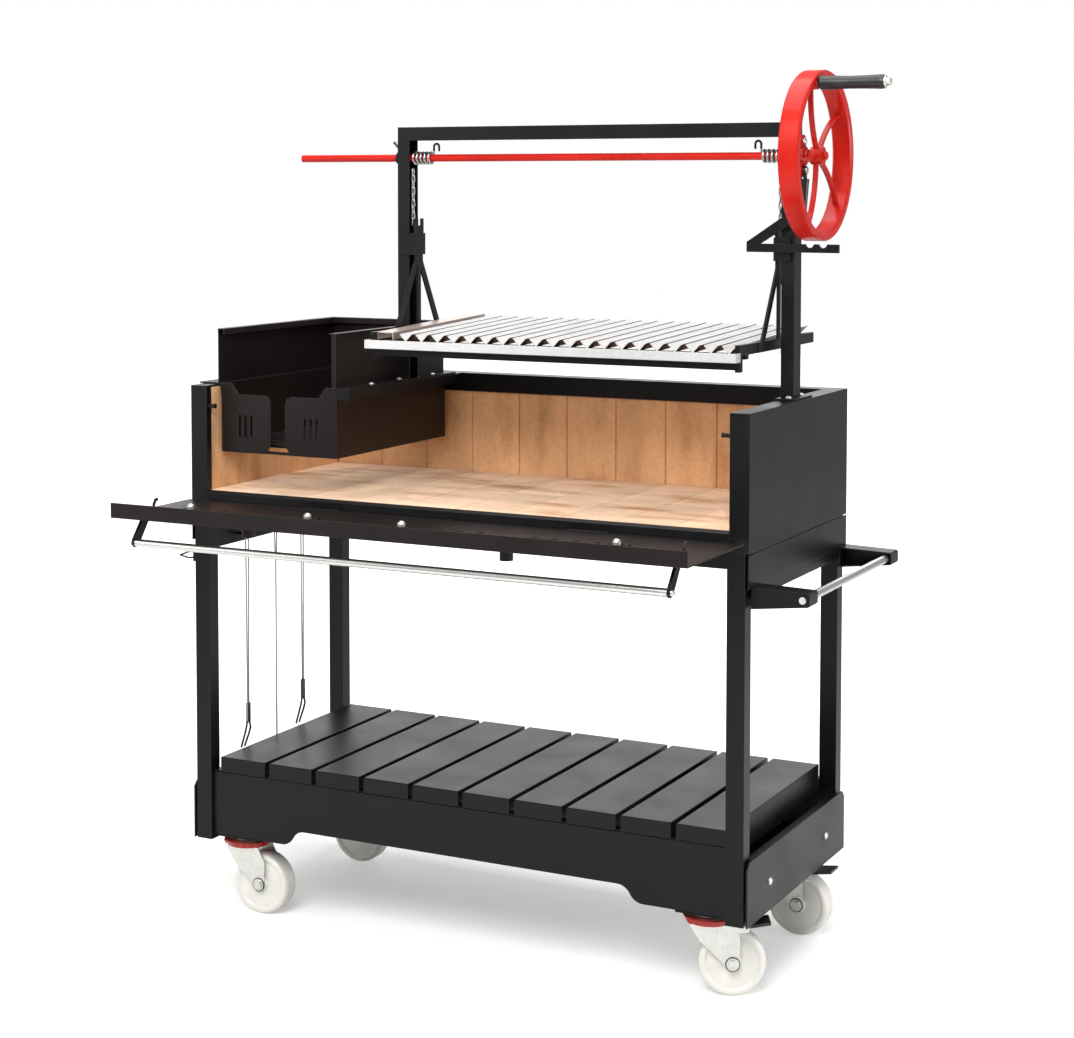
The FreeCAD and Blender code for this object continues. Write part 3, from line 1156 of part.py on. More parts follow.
# ---------------------------------------------------------------- fasteners
def frame_bolts():
    """Every plated bolt of the cart: aprons, post feet, bearing and side handle."""
    bolts = []
    for side in (-1, 1):
        for y in (-APRON_BOLT_Y, APRON_BOLT_Y):
            seat = Vec(side * (HALF_W + SHEET), y, APRON_BOLT_Z)
            bolts.append(dome_bolt(seat, Vec(side, 0, 0), 7.5, 5.0, 4.0, 30.0))
    for middle in ((RAIL_X0 + RAIL_X1) / 2, RIGHT_FOOT_MID):
        for side in (-1, 1):
            seat = Vec(middle, FRAME_Y + side * FOOT_BOLT_DY, FIREBOX_TOP + FOOT_THICK)
            bolts.append(dome_bolt(seat, Z_AXIS, 6.0, 4.5, 3.0, FOOT_THICK + 2.0))
    for side, y in ((-1, BRACKET_FRONT_Y), (1, BRACKET_REAR_Y)):
        seat = Vec(SIDE_BAR_X, y, SIDE_BAR_Z)
        bolts.append(dome_bolt(seat, Vec(0, side, 0), 6.5, 4.5, SIDE_BOLT_R, SHEET + 12))
    upper = SHAFT_Z + BEARING_BOLT_Z
    lower = SHAFT_Z - BEARING_BOLT_Z
    bolts.append(dome_bolt(Vec(RIGHT_POST_X1 + 10, FRAME_Y, upper), X_AXIS, 7.0, 6.0, 4.0, 10.0))
    pivot_end = BRAKE_X0 + BRAKE_THICK + 0.3
    pivot = rod_x(RIGHT_POST_X1, pivot_end, FRAME_Y, lower, 4.0)
    head = rod_x(pivot_end, pivot_end + 2, FRAME_Y, lower, 6.5)
    bolts.append(fused([pivot, head]))
    return group(bolts)


def basket_bolts():
    """The two bolts standing in the right flange of the basket."""
    seats = [Vec(BASKET_BOLT_X, y, FIREBOX_TOP + SHEET) for y in BASKET_BOLT_Y]
    return group([dome_bolt(seat, Z_AXIS, 6.0, 4.5, 3.0, SHEET) for seat in seats])


# ---------------------------------------------------------------- casters
STUD_R = 9.0
CROWN_TOP = CASTER_PLATE_TOP - 9.0


def caster_corners():
    return {"front_left": (-CASTER_X, CASTER_FRONT_Y), "front_right": (CASTER_X, CASTER_FRONT_Y),
            "rear_left": (-CASTER_X, CASTER_REAR_Y), "rear_right": (CASTER_X, CASTER_REAR_Y)}


def caster_plates():
    """Top plates with the king pins the forks turn on."""
    plates = []
    for x, y in caster_corners().values():
        top = box(x - 40, x + 40, y - 34, y + 34, CASTER_PLATE_TOP - 4, CASTER_PLATE_TOP)
        race = rod_z(x, y, CASTER_PLATE_TOP - 8, CASTER_PLATE_TOP - 4, 30.0)
        pin = rod_z(x, y, CASTER_PLATE_TOP - 22, CASTER_PLATE_TOP - 4, STUD_R)
        nut = rod_z(x, y, CASTER_PLATE_TOP - 25, CASTER_PLATE_TOP - 15.5, 13.0)
        plates.append(fused([top, race, pin, nut]))
    return group(plates)


FORK_HALF = 23.0
FORK_WALL = 3.0
AXLE_R = 6.0
RING_R, RING_SKIRT_R, RING_HEIGHT = 50.0, 44.0, 11.0


def axle_end(x, y, z, side):
    """A washer and a hexagon on the outside of one fork leg."""
    washer = rod_y(x, y, y + side * 1.5, z, 12.0)
    hexagon_r = 9.5
    turns = [math.radians(60 * index) for index in range(6)]
    outline = [(x + hexagon_r * math.cos(turn), z + hexagon_r * math.sin(turn)) for turn in turns]
    nut = plate([Vec(px, y + side * 1.5, pz) for px, pz in outline], Vec(0, side * 5.0, 0))
    return [washer, nut]


def caster_fork(x, y):
    """Swivel ring, crown, two wide legs narrowing to the axle, and the axle bolt."""
    ring = Part.makeCone(RING_SKIRT_R, RING_R, RING_HEIGHT, Vec(x, y, CROWN_TOP - RING_HEIGHT))
    axle_x, axle_z = x + CASTER_TRAIL, CASTER_WHEEL_R
    outline = [
        (x - 45, CROWN_TOP - 4), (x + 34, CROWN_TOP - 4), (x + 53, axle_z + 50), (axle_x + 13, axle_z - 4),
        (axle_x + 7, axle_z - 12), (axle_x - 7, axle_z - 12), (axle_x - 14, axle_z - 2), (x - 20, axle_z + 42),
    ]
    pieces = [ring, rod_y(axle_x, y - FORK_HALF - FORK_WALL, y + FORK_HALF + FORK_WALL, axle_z, AXLE_R)]
    for side in (-1, 1):
        inner = y + side * FORK_HALF
        pieces.append(plate([Vec(px, inner, pz) for px, pz in outline], Vec(0, side * FORK_WALL, 0)))
        pieces += axle_end(axle_x, y + side * (FORK_HALF + FORK_WALL), axle_z, side)
    body = fused(pieces)
    body = body.cut(rod_z(x, y, CROWN_TOP - RING_HEIGHT - 1, CROWN_TOP + 1, STUD_R + RUN))
    return body.cut(rod_z(x, y, CASTER_PLATE_TOP - 30, CASTER_PLATE_TOP - 15.3, 14.0))


def caster_wheel(x, y):
    """Moulded wheel with a dished side, on the axle."""
    axle_x, axle_z = x + CASTER_TRAIL, CASTER_WHEEL_R
    half = CASTER_WHEEL_W / 2
    profile = [(AXLE_R + RUN, -half - 2), (14, -half - 2), (17, -half + 3), (48, -half + 3), (52, -half),
               (57, -half), (61, -half + 3), (62.5, -half + 8), (62.5, half - 8), (61, half - 3), (57, half),
               (52, half), (48, half - 3), (17, half - 3), (14, half + 2), (AXLE_R + RUN, half + 2)]
    outline = [Vec(axle_x + r, y + dy, axle_z) for r, dy in profile]
    face = Part.Face(Part.makePolygon(outline + [outline[0]]))
    return face.revolve(Vec(axle_x, y, axle_z), Y_AXIS, 360)


PEDAL_X, PEDAL_Z, PEDAL_PIN_R = 64.0, 128.0, 3.0


def pedal_pin(x, y):
    """The pin between the fork legs that the brake pedal rocks on."""
    return rod_y(x + PEDAL_X, y - FORK_HALF - FORK_WALL, y + FORK_HALF + FORK_WALL, PEDAL_Z, PEDAL_PIN_R)


def braked_fork(x, y):
    """A fork with two ears for the pedal pin."""
    ears = []
    for side in (-1, 1):
        inner = y + side * FORK_HALF
        points = [Vec(x + 20, inner, CROWN_TOP - 4), Vec(x + 34, inner, CROWN_TOP - 4),
                  Vec(x + PEDAL_X + 6, inner, PEDAL_Z + 5), Vec(x + PEDAL_X + 6, inner, PEDAL_Z - 6),
                  Vec(x + 30, inner, PEDAL_Z - 10)]
        ears.append(plate(points, Vec(0, side * FORK_WALL, 0)))
    return fused([caster_fork(x, y), pedal_pin(x, y)] + ears)


def brake_pedal(x, y):
    """The foot pedal: a wide pad rocking on its pin above the wheel."""
    half = FORK_HALF - 1.0
    barrel = rod_y(x + PEDAL_X, y - half, y + half, PEDAL_Z, PEDAL_PIN_R + 2.5)
    points = [Vec(x + PEDAL_X, y - half, PEDAL_Z + 1), Vec(x + PEDAL_X + 4, y - half, PEDAL_Z + 5.5),
              Vec(x + PEDAL_X + 46, y - half, PEDAL_Z + 11), Vec(x + PEDAL_X + 46, y - half, PEDAL_Z + 6),
              Vec(x + PEDAL_X + 3, y - half, PEDAL_Z - 1)]
    pad = plate(points, Vec(0, 2 * half, 0))
    shape = fused([barrel, pad])
    return shape.cut(rod_y(x + PEDAL_X, y - half - 1, y + half + 1, PEDAL_Z, PEDAL_PIN_R + RUN))


# ---------------------------------------------------------------- all nodes
def all_parts():
    parts = {
        "corner_legs": corner_legs(), "end_aprons": end_aprons(), "side_aprons": side_aprons(),
        "shelf_rails": shelf_rails(), "shelf_slats": shelf_slats(), "cradle_rails": cradle_rails(),
        "firebox_floor_pan": firebox_floor_pan(), "firebox_side_panels": firebox_side_panels(),
        "firebox_back_panel": firebox_back_panel(), "floor_bricks": floor_bricks(),
        "wall_bricks": wall_bricks(),
        "catch_pins": catch_pins(), "door_hinge_rod": door_hinge_rod(), "lift_posts": lift_posts(),
        "top_beam": top_beam(), "basket_rail": basket_rail(), "wood_basket": wood_basket(),
        "basket_bars": basket_bars(), "basket_guard": basket_guard(), "spit_rest": spit_rest(),
        "flange_bearing": flange_bearing(), "side_handle_brackets": side_handle_brackets(),
        "side_handle_bar": side_handle_bar(), "tool_hooks": tool_hooks(), "caster_plates": caster_plates(),
        "frame_bolts": frame_bolts(), "basket_bolts": basket_bolts(),
        "door_panel": door_panel(), "door_handle_arms": door_handle_arms(),
        "door_handle_bar": door_handle_bar(), "damper_studs": door_nuts(),
        "left_damper": damper(*DAMPERS["left"]), "right_damper": damper(*DAMPERS["right"]),
        "winch_shaft": winch_shaft(), "chain_wraps": chain_wraps(), "handwheel": handwheel(),
        "crank_spindle": crank_spindle(), "crank_grip": crank_grip(), "brake_lever": brake_lever(),
        "lock_lever": lock_lever(),
        "lift_sleeves": lift_sleeves(), "lift_struts": lift_struts(), "grate_arms": grate_arms(),
        "vee_channels": vee_channels(), "grate_frame": grate_frame(),
        "lift_chains": lift_chains(),
        "front_fork_tool": fork(TOOL_Y[0], 404.0, 312.0), "poker_tool": poker(TOOL_Y[1]),
        "rear_fork_tool": fork(TOOL_Y[2], 410.0, 316.0),
    }
    for name, (x, y) in caster_corners().items():
        braked = name.endswith("right")
        pieces = {"caster_fork_": braked_fork(x, y) if braked else caster_fork(x, y),
                  "caster_wheel_": caster_wheel(x, y)}
        if braked:
            pieces["brake_pedal_"] = brake_pedal(x, y)
        for kind, shape in pieces.items():
            if name == "front_right":
                shape.rotate(Vec(x, y, 0), Z_AXIS, CASTER_TURN)
            parts[kind + name] = shape
    return parts


# The file's origin is the middle of the whole footprint on the floor, door open and crank included.
ORIGIN_X = (CRANK_END_X - HALF_W - SIDE_HOOK_REACH) / 2
ORIGIN_Y = (HALF_D - DOOR_OUT) / 2

for node, shape in all_parts().items():
    shape.translate(Vec(-ORIGIN_X, -ORIGIN_Y, 0))
    shape.exportStep("parts/" + node + ".step")
    print(node, len(shape.Solids), "solids", "valid" if shape.isValid() else "INVALID", shape.BoundBox)
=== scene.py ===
import json
import math

import bmesh
import bpy
from mathutils import Matrix, Vector
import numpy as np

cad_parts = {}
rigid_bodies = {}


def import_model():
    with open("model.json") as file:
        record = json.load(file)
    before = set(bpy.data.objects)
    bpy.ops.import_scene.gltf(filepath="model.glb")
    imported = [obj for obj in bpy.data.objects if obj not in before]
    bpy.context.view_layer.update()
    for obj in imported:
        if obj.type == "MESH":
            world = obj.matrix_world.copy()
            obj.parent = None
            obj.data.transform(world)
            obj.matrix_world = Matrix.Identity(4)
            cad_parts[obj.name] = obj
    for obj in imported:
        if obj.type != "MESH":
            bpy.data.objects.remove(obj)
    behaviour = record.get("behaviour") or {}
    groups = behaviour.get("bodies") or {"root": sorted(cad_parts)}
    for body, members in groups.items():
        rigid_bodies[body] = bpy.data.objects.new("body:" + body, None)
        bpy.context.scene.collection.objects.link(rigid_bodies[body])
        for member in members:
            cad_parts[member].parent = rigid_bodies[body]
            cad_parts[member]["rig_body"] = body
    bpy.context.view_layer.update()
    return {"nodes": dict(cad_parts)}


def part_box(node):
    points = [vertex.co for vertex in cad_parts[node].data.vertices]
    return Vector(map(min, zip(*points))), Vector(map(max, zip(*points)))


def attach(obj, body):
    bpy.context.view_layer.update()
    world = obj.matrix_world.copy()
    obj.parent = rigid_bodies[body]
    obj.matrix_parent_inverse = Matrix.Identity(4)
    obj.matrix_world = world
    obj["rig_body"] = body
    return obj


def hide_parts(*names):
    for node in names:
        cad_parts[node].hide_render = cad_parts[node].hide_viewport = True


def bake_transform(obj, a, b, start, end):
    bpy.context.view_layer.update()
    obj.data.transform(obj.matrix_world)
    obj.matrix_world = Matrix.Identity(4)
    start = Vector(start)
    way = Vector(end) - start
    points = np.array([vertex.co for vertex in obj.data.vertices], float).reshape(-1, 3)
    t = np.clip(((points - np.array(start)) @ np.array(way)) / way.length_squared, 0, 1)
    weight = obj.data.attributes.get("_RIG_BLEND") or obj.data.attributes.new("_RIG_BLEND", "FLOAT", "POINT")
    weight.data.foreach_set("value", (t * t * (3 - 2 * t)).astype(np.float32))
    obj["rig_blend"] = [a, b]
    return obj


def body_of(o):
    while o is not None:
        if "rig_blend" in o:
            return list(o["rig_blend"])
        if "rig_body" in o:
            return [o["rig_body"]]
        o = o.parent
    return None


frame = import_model()


# ------------------------------------------------------------------ colours, linear RGB
WHITE = (1.0, 1.0, 1.0)
BLACK_COAT = (0.0052, 0.0050, 0.0056)
WARM_COAT = (0.0105, 0.0072, 0.0068)
RED = (0.50, 0.012, 0.006)
STEEL = (0.72, 0.71, 0.69)
BRIGHT_STEEL = (0.98, 0.975, 0.96)
WARM_STEEL = (0.66, 0.56, 0.52)
# painted shade: the dark colour given to the channels' undersides and edge lines
PAINTED_UNDERSIDE_SHADE = (0.022, 0.016, 0.013)
TOOL_BLACK = (0.012, 0.012, 0.012)
ZINC = (0.74, 0.74, 0.70)
WALL_PALE = (0.88, 0.52, 0.27)
FLOOR_PALE = (0.90, 0.63, 0.44)
BRICK_DEEP = (0.56, 0.27, 0.12)
BRICK_GRIT = (0.80, 0.78, 0.76)
BRICK_JOINT = (0.085, 0.04, 0.018)
NYLON = (0.74, 0.73, 0.68)
PLASTIC = (0.010, 0.010, 0.011)
PAPER = (0.88, 0.87, 0.86)

# ------------------------------------------------------------------ how the finishes behave
UNIT = (0.0, 1.0)

# values that a noise mostly stays between, and a wider range for brush lines
MIDDLE_SPAN = (0.3, 0.7)
WIDE_SPAN = (0.25, 0.75)

# how far the rounded normal agrees with the true one, on a flat face and at a corner
FLAT_TO_CORNER = (0.98, 0.80)
EDGE_SAMPLES, RELIEF_SAMPLES = 6, 4

# widths of edges that carry a painted highlight or a painted shade line, of rounded edges and of open
# joints, metres
EDGE_RADIUS = 0.0012
METAL_ROUNDING = 0.0008
MEDIUM_ROUNDING = 0.0015
SOFT_ROUNDING = 0.002
BRICK_JOINT_WIDTH = 0.0018

# factors on a colour
# lightens the coat colour along its corners into a painted highlight
PAINTED_EDGE_HIGHLIGHT = 7.0
WIRE_SHADE = 0.42
CHAIN_SHADE = 0.62
# lightens the painted shade a little for the painted shade lines along the channels' edges
PAINTED_GAP_LINE_FACTOR = 2.0

COAT_SHINE = 0.22
ROUGHNESS_DOWN, ROUGHNESS_UP = 0.03, 0.05
VEE_METAL, RAIL_METAL, ZINC_METAL = 0.55, 0.85, 0.85
GRIT_SHARE = 0.6
BRICK_SPREAD = (0.88, 1.08)

# brush lines and streaks run along the axis with the smallest number
EVEN = (1.0, 1.0, 1.0)
ALONG_X = (0.02, 1.0, 1.0)
ALONG_Y = (1.0, 0.02, 1.0)
ALONG_Z = (1.0, 1.0, 0.02)
FLOOR_STREAKS = (0.9, 3.4, 3.0)
WALL_STREAKS = (2.4, 2.4, 0.8)

# where one finish ends and another begins, metres
GUTTER_REAR_Y = -0.030
RING_LOW_Z = 0.1376
FRONT_FORK_BLACK_Z = 0.369
REAR_FORK_BLACK_Z = 0.415
HOOK_BLACK_Z = 1.5545

# a face whose normal has less than this much up in it looks down at the fire and is painted with shade
UNDERSIDE = -0.2


def shade(colour, factor):
    """A colour made darker or lighter, kept within what a surface can reflect."""
    return tuple(min(1.0, channel * factor) for channel in colour)


# ------------------------------------------------------------------ material building blocks
class Graph:
    """A material, with short ways to build its node tree."""

    def __init__(self, name):
        self.material = bpy.data.materials.new(name)
        self.material.use_nodes = True
        self.tree = self.material.node_tree
        self.tree.nodes.clear()
        self.shader = self.node("ShaderNodeBsdfPrincipled")
        self.coords = self.node("ShaderNodeTexCoord")
        self.tone = None
        output = self.node("ShaderNodeOutputMaterial")
        self.link(self.shader, "BSDF", output, "Surface")

    def node(self, kind, inputs=None, **settings):
        """Adds a node with some of its settings and input values filled in."""
        made = self.tree.nodes.new(kind)
        for name, value in settings.items():
            setattr(made, name, value)
        for name, value in (inputs or {}).items():
            made.inputs[name].default_value = value
        return made

    def link(self, source, out_name, target, in_name):
        """Joins an output of one node to an input of another."""
        self.tree.links.new(source.outputs[out_name], target.inputs[in_name])

    def fill(self, values):
        """Sets plain values of the surface shader."""
        for name, value in values.items():
            self.shader.inputs[name].default_value = value

    def colour(self, tone):
        """Gives the surface its colour and remembers it for finishes built on top."""
        self.tone = tone
        self.link(tone, "Color", self.shader, "Base Color")

    def noise(self, scale, detail=3.0, stretch=EVEN):
        """Noise fixed to the part; a small number in stretch draws it out along that axis."""
        mapping = self.node("ShaderNodeMapping", {"Scale": stretch})
        self.link(self.coords, "Object", mapping, "Vector")
        made = self.node("ShaderNodeTexNoise", {"Scale": scale, "Detail": detail})
        self.link(mapping, "Vector", made, "Vector")
        return made

    def ramp(self, noise, stops):
        """Colours for the values of a noise."""
        made = self.node("ShaderNodeValToRGB")
        elements = made.color_ramp.elements
        while len(elements) < len(stops):
            elements.new(0.5)
        for element, (place, colour) in zip(elements, stops):
            element.position = place
            element.color = (*colour, 1.0)
        self.link(noise, "Fac", made, "Fac")
        return made

    def mottled(self, noise, colour, dark, light, span=MIDDLE_SPAN):
        """One colour that wanders between a darker and a lighter shade of itself."""
        dark_place, light_place = span
        return self.ramp(noise, [(dark_place, shade(colour, dark)), (light_place, shade(colour, light))])

    def remapped(self, source, out_name, given, wanted):
        """Carries one range of values over to another."""
        ends = {"From Min": given[0], "From Max": given[1], "To Min": wanted[0], "To Max": wanted[1]}
        made = self.node("ShaderNodeMapRange", ends)
        self.link(source, out_name, made, "Value")
        return made

    def mixed(self, share, out_name, under, over):
        """The first tone where the share is nought, the second where it is one."""
        chosen = self.node("ShaderNodeMixRGB")
        self.link(share, out_name, chosen, "Fac")
        self.link(under, "Color", chosen, "Color1")
        self.link(over, "Color", chosen, "Color2")
        return chosen

    def past(self, source, out_name, axis, limit):
        """One where a vector's part along an axis is past a limit, else nought."""
        parts = self.node("ShaderNodeSeparateXYZ")
        self.link(source, out_name, parts, "Vector")
        made = self.node("ShaderNodeMath", {1: limit}, operation="GREATER_THAN")
        self.link(parts, axis, made, 0)
        return made

    def above(self, axis, limit):
        """One where the part's own coordinate is past a limit, else nought."""
        return self.past(self.coords, "Object", axis, limit)

    def two_tone(self, axis, limit, low_tone, high_tone):
        """One colour below a limit along an axis and another above it."""
        return self.mixed(self.above(axis, limit), "Value", low_tone, high_tone)

    def edges(self, radius):
        """Nought on flat faces, rising to one at the corners between them."""
        rounded = self.node("ShaderNodeBevel", {"Radius": radius}, samples=EDGE_SAMPLES)
        true = self.node("ShaderNodeNewGeometry")
        agreement = self.node("ShaderNodeVectorMath", operation="DOT_PRODUCT")
        self.link(rounded, "Normal", agreement, 0)
        self.link(true, "Normal", agreement, 1)
        return self.remapped(agreement, "Value", FLAT_TO_CORNER, UNIT)

    def edged(self, tone, edge_colour, radius):
        """The given tone with another colour along its corners."""
        chosen = self.node("ShaderNodeMixRGB", {"Color2": (*edge_colour, 1.0)})
        self.link(self.edges(radius), "Result", chosen, "Fac")
        self.link(tone, "Color", chosen, "Color1")
        return chosen

    def roughness(self, noise, low, high):
        """Lets the roughness wander between two values."""
        made = self.remapped(noise, "Fac", MIDDLE_SPAN, (low, high))
        self.link(made, "Result", self.shader, "Roughness")

    def relief(self, noise, depth, strength, rounding=EDGE_RADIUS):
        """Fine surface relief on top of slightly rounded edges."""
        rounded = self.node("ShaderNodeBevel", {"Radius": rounding}, samples=RELIEF_SAMPLES)
        bump = self.node("ShaderNodeBump", {"Distance": depth, "Strength": strength})
        self.link(rounded, "Normal", bump, "Normal")
        self.link(noise, "Fac", bump, "Height")
        self.link(bump, "Normal", self.shader, "Normal")


# ------------------------------------------------------------------ finishes
def powder_coat(name, colour, roughness):
    """Satin powder coat: fine orange peel, a faint cloudiness and paler corners painted on as highlights."""
    graph = Graph(name)
    cloud = graph.noise(scale=9.0, detail=4.0)
    tone = graph.mottled(cloud, colour, dark=0.85, light=1.2)
    # painted highlight: the corners take a lighter copy of the coat colour
    graph.colour(graph.edged(tone, shade(colour, PAINTED_EDGE_HIGHLIGHT), EDGE_RADIUS))
    graph.roughness(cloud, roughness - ROUGHNESS_DOWN, roughness + ROUGHNESS_UP)
    graph.fill({"Specular IOR Level": COAT_SHINE})
    graph.relief(graph.noise(scale=900.0, detail=2.0), depth=0.0004, strength=0.18)
    return graph.material


def red_enamel():
    """Red gloss paint with a thin clear layer."""
    graph = Graph("red_enamel")
    cloud = graph.noise(scale=14.0)
    graph.colour(graph.mottled(cloud, RED, dark=0.88, light=1.08))
    graph.roughness(cloud, low=0.24, high=0.32)
    graph.fill({"Specular IOR Level": 0.16, "Coat Weight": 0.12, "Coat Roughness": 0.10})
    peel = graph.noise(scale=260.0, detail=2.0)
    graph.relief(peel, depth=0.0006, strength=0.10, rounding=SOFT_ROUNDING)
    return graph.material


def brushed_graph(name, colour, roughness, stretch, metal=1.0):
    """Steel with long fine brush lines along one axis."""
    graph = Graph(name)
    lines = graph.noise(scale=420.0, detail=4.0, stretch=stretch)
    graph.colour(graph.mottled(lines, colour, dark=0.86, light=1.10, span=WIDE_SPAN))
    cloud = graph.noise(scale=7.0)
    graph.roughness(cloud, roughness - ROUGHNESS_DOWN, roughness + ROUGHNESS_UP)
    graph.fill({"Metallic": metal})
    graph.relief(lines, depth=0.0003, strength=0.16, rounding=METAL_ROUNDING)
    return graph


def blackened(graph):
    """The dark skin of fire-worked steel."""
    return graph.mottled(graph.noise(scale=60.0), TOOL_BLACK, dark=0.8, light=1.6)


def vee_steel():
    """Bright channels with painted shade underneath, where they face the fire, and painted shade lines along
    their edges.
    """
    graph = brushed_graph("vee_steel", BRIGHT_STEEL, 0.34, ALONG_Y, VEE_METAL)
    upward = graph.past(graph.node("ShaderNodeNewGeometry"), "Normal", "Z", UNDERSIDE)
    # painted shade on faces that look down; the other faces get painted shade lines along their corners
    painted_shade = graph.mottled(graph.noise(scale=40.0, detail=4.0), PAINTED_UNDERSIDE_SHADE, dark=0.7, light=1.8)
    painted_gap_lined_tone = graph.edged(graph.tone, shade(PAINTED_UNDERSIDE_SHADE, PAINTED_GAP_LINE_FACTOR), EDGE_RADIUS)
    graph.colour(graph.mixed(upward, "Value", painted_shade, painted_gap_lined_tone))
    metal = graph.remapped(upward, "Value", UNIT, (0.0, VEE_METAL))
    graph.link(metal, "Result", graph.shader, "Metallic")
    return graph.material


def chain_steel():
    """Grey chain; the hooks that stand over the shaft are blackened."""
    graph = brushed_graph("chain_steel", shade(STEEL, CHAIN_SHADE), 0.28, ALONG_Z)
    graph.colour(graph.two_tone("Z", HOOK_BLACK_Z, graph.tone, blackened(graph)))
    return graph.material


def grate_steel():
    """Bright gutter in front, heat-browned rail behind it."""
    graph = brushed_graph("grate_rail_steel", BRIGHT_STEEL, 0.36, ALONG_Y, RAIL_METAL)
    cloud = graph.noise(scale=16.0, detail=4.0, stretch=ALONG_Y)
    browned = graph.mottled(cloud, WARM_STEEL, dark=0.8, light=1.15)
    graph.colour(graph.two_tone("Y", GUTTER_REAR_Y, graph.tone, browned))
    return graph.material


def tool_steel(name, black_below):
    """Stainless wire above, blackened head below a given height."""
    graph = brushed_graph(name, shade(STEEL, WIRE_SHADE), 0.26, ALONG_Z)
    graph.colour(graph.two_tone("Z", black_below, blackened(graph), graph.tone))
    graph.link(graph.above("Z", black_below), "Value", graph.shader, "Metallic")
    return graph.material


def zinc_graph(name):
    """Plated steel with the faint mottling of the plating bath."""
    graph = Graph(name)
    patches = graph.noise(scale=70.0)
    graph.colour(graph.mottled(patches, ZINC, dark=0.92, light=1.06))
    graph.roughness(patches, low=0.26, high=0.34)
    graph.fill({"Metallic": ZINC_METAL})
    graph.relief(patches, depth=0.0002, strength=0.10, rounding=METAL_ROUNDING)
    return graph


def caster_zinc():
    """Plated fork under the red swivel ring."""
    graph = zinc_graph("caster_zinc")
    paint = graph.mottled(graph.noise(scale=50.0), RED, dark=0.62, light=0.8)
    graph.colour(graph.two_tone("Z", RING_LOW_Z, graph.tone, paint))
    metal = graph.remapped(graph.above("Z", RING_LOW_Z), "Value", UNIT, (ZINC_METAL, 0.0))
    graph.link(metal, "Result", graph.shader, "Metallic")
    return graph.material


def own_tone(graph, tone):
    """Makes each separate solid a little lighter or darker than the next."""
    solid = graph.node("ShaderNodeNewGeometry")
    chosen = graph.node("ShaderNodeHueSaturation")
    value = graph.remapped(solid, "Random Per Island", UNIT, BRICK_SPREAD)
    graph.link(value, "Result", chosen, "Value")
    graph.link(tone, "Color", chosen, "Color")
    return chosen


def firebrick(name, pale, stretch):
    """Fired clay: each brick its own tone, soft long streaks and a gritty face."""
    graph = Graph(name)
    streaks = graph.noise(scale=6.0, detail=5.0, stretch=stretch)
    clay_tones = [(0.28, BRICK_DEEP), (0.47, shade(pale, 0.92)), (0.75, shade(pale, 1.10))]
    grit_tones = [(0.3, BRICK_GRIT), (0.6, WHITE)]
    specked = graph.node("ShaderNodeMixRGB", {"Fac": GRIT_SHARE}, blend_type="MULTIPLY")
    graph.link(graph.ramp(streaks, clay_tones), "Color", specked, "Color1")
    grain = graph.noise(scale=150.0, detail=4.0)
    graph.link(graph.ramp(grain, grit_tones), "Color", specked, "Color2")
    graph.colour(graph.edged(own_tone(graph, specked), BRICK_JOINT, BRICK_JOINT_WIDTH))
    graph.fill({"Roughness": 0.88, "Specular IOR Level": 0.2})
    grit = graph.noise(scale=320.0, detail=4.0)
    graph.relief(grit, depth=0.0008, strength=0.30, rounding=MEDIUM_ROUNDING)
    return graph.material


def white_nylon():
    """Cast nylon that lets a little light in."""
    graph = Graph("white_nylon")
    cloud = graph.noise(scale=30.0)
    graph.colour(graph.mottled(cloud, NYLON, dark=0.95, light=1.04))
    graph.roughness(cloud, low=0.32, high=0.42)
    graph.fill({"Subsurface Weight": 0.12, "Subsurface Scale": 0.01})
    grain = graph.noise(scale=500.0, detail=2.0)
    graph.relief(grain, depth=0.0003, strength=0.10, rounding=SOFT_ROUNDING)
    return graph.material


def black_plastic():
    """Moulded plastic with a fine grain."""
    graph = Graph("black_plastic")
    cloud = graph.noise(scale=40.0)
    graph.colour(graph.mottled(cloud, PLASTIC, dark=0.85, light=1.3))
    graph.roughness(cloud, low=0.30, high=0.40)
    grain = graph.noise(scale=700.0, detail=2.0)
    graph.relief(grain, depth=0.0004, strength=0.2, rounding=MEDIUM_ROUNDING)
    return graph.material


MATERIALS = {
    "black": powder_coat("black_coat", BLACK_COAT, 0.34),
    "warm": powder_coat("warm_black_coat", WARM_COAT, 0.40),
    "red": red_enamel(),
    "steel_x": brushed_graph("steel_along_x", STEEL, 0.24, ALONG_X).material,
    "steel_y": brushed_graph("steel_along_y", STEEL, 0.24, ALONG_Y).material,
    "vee_steel": vee_steel(),
    "grate_steel": grate_steel(),
    "wire": brushed_graph("wire_steel", shade(STEEL, WIRE_SHADE), 0.24, ALONG_Z).material,
    "front_fork": tool_steel("front_fork_steel", FRONT_FORK_BLACK_Z),
    "rear_fork": tool_steel("rear_fork_steel", REAR_FORK_BLACK_Z),
    "chain": chain_steel(),
    "zinc": zinc_graph("zinc_plate").material,
    "caster": caster_zinc(),
    "floor_brick": firebrick("floor_brick_clay", FLOOR_PALE, FLOOR_STREAKS),
    "wall_brick": firebrick("wall_brick_clay", WALL_PALE, WALL_STREAKS),
    "nylon": white_nylon(),
    "plastic": black_plastic(),
}

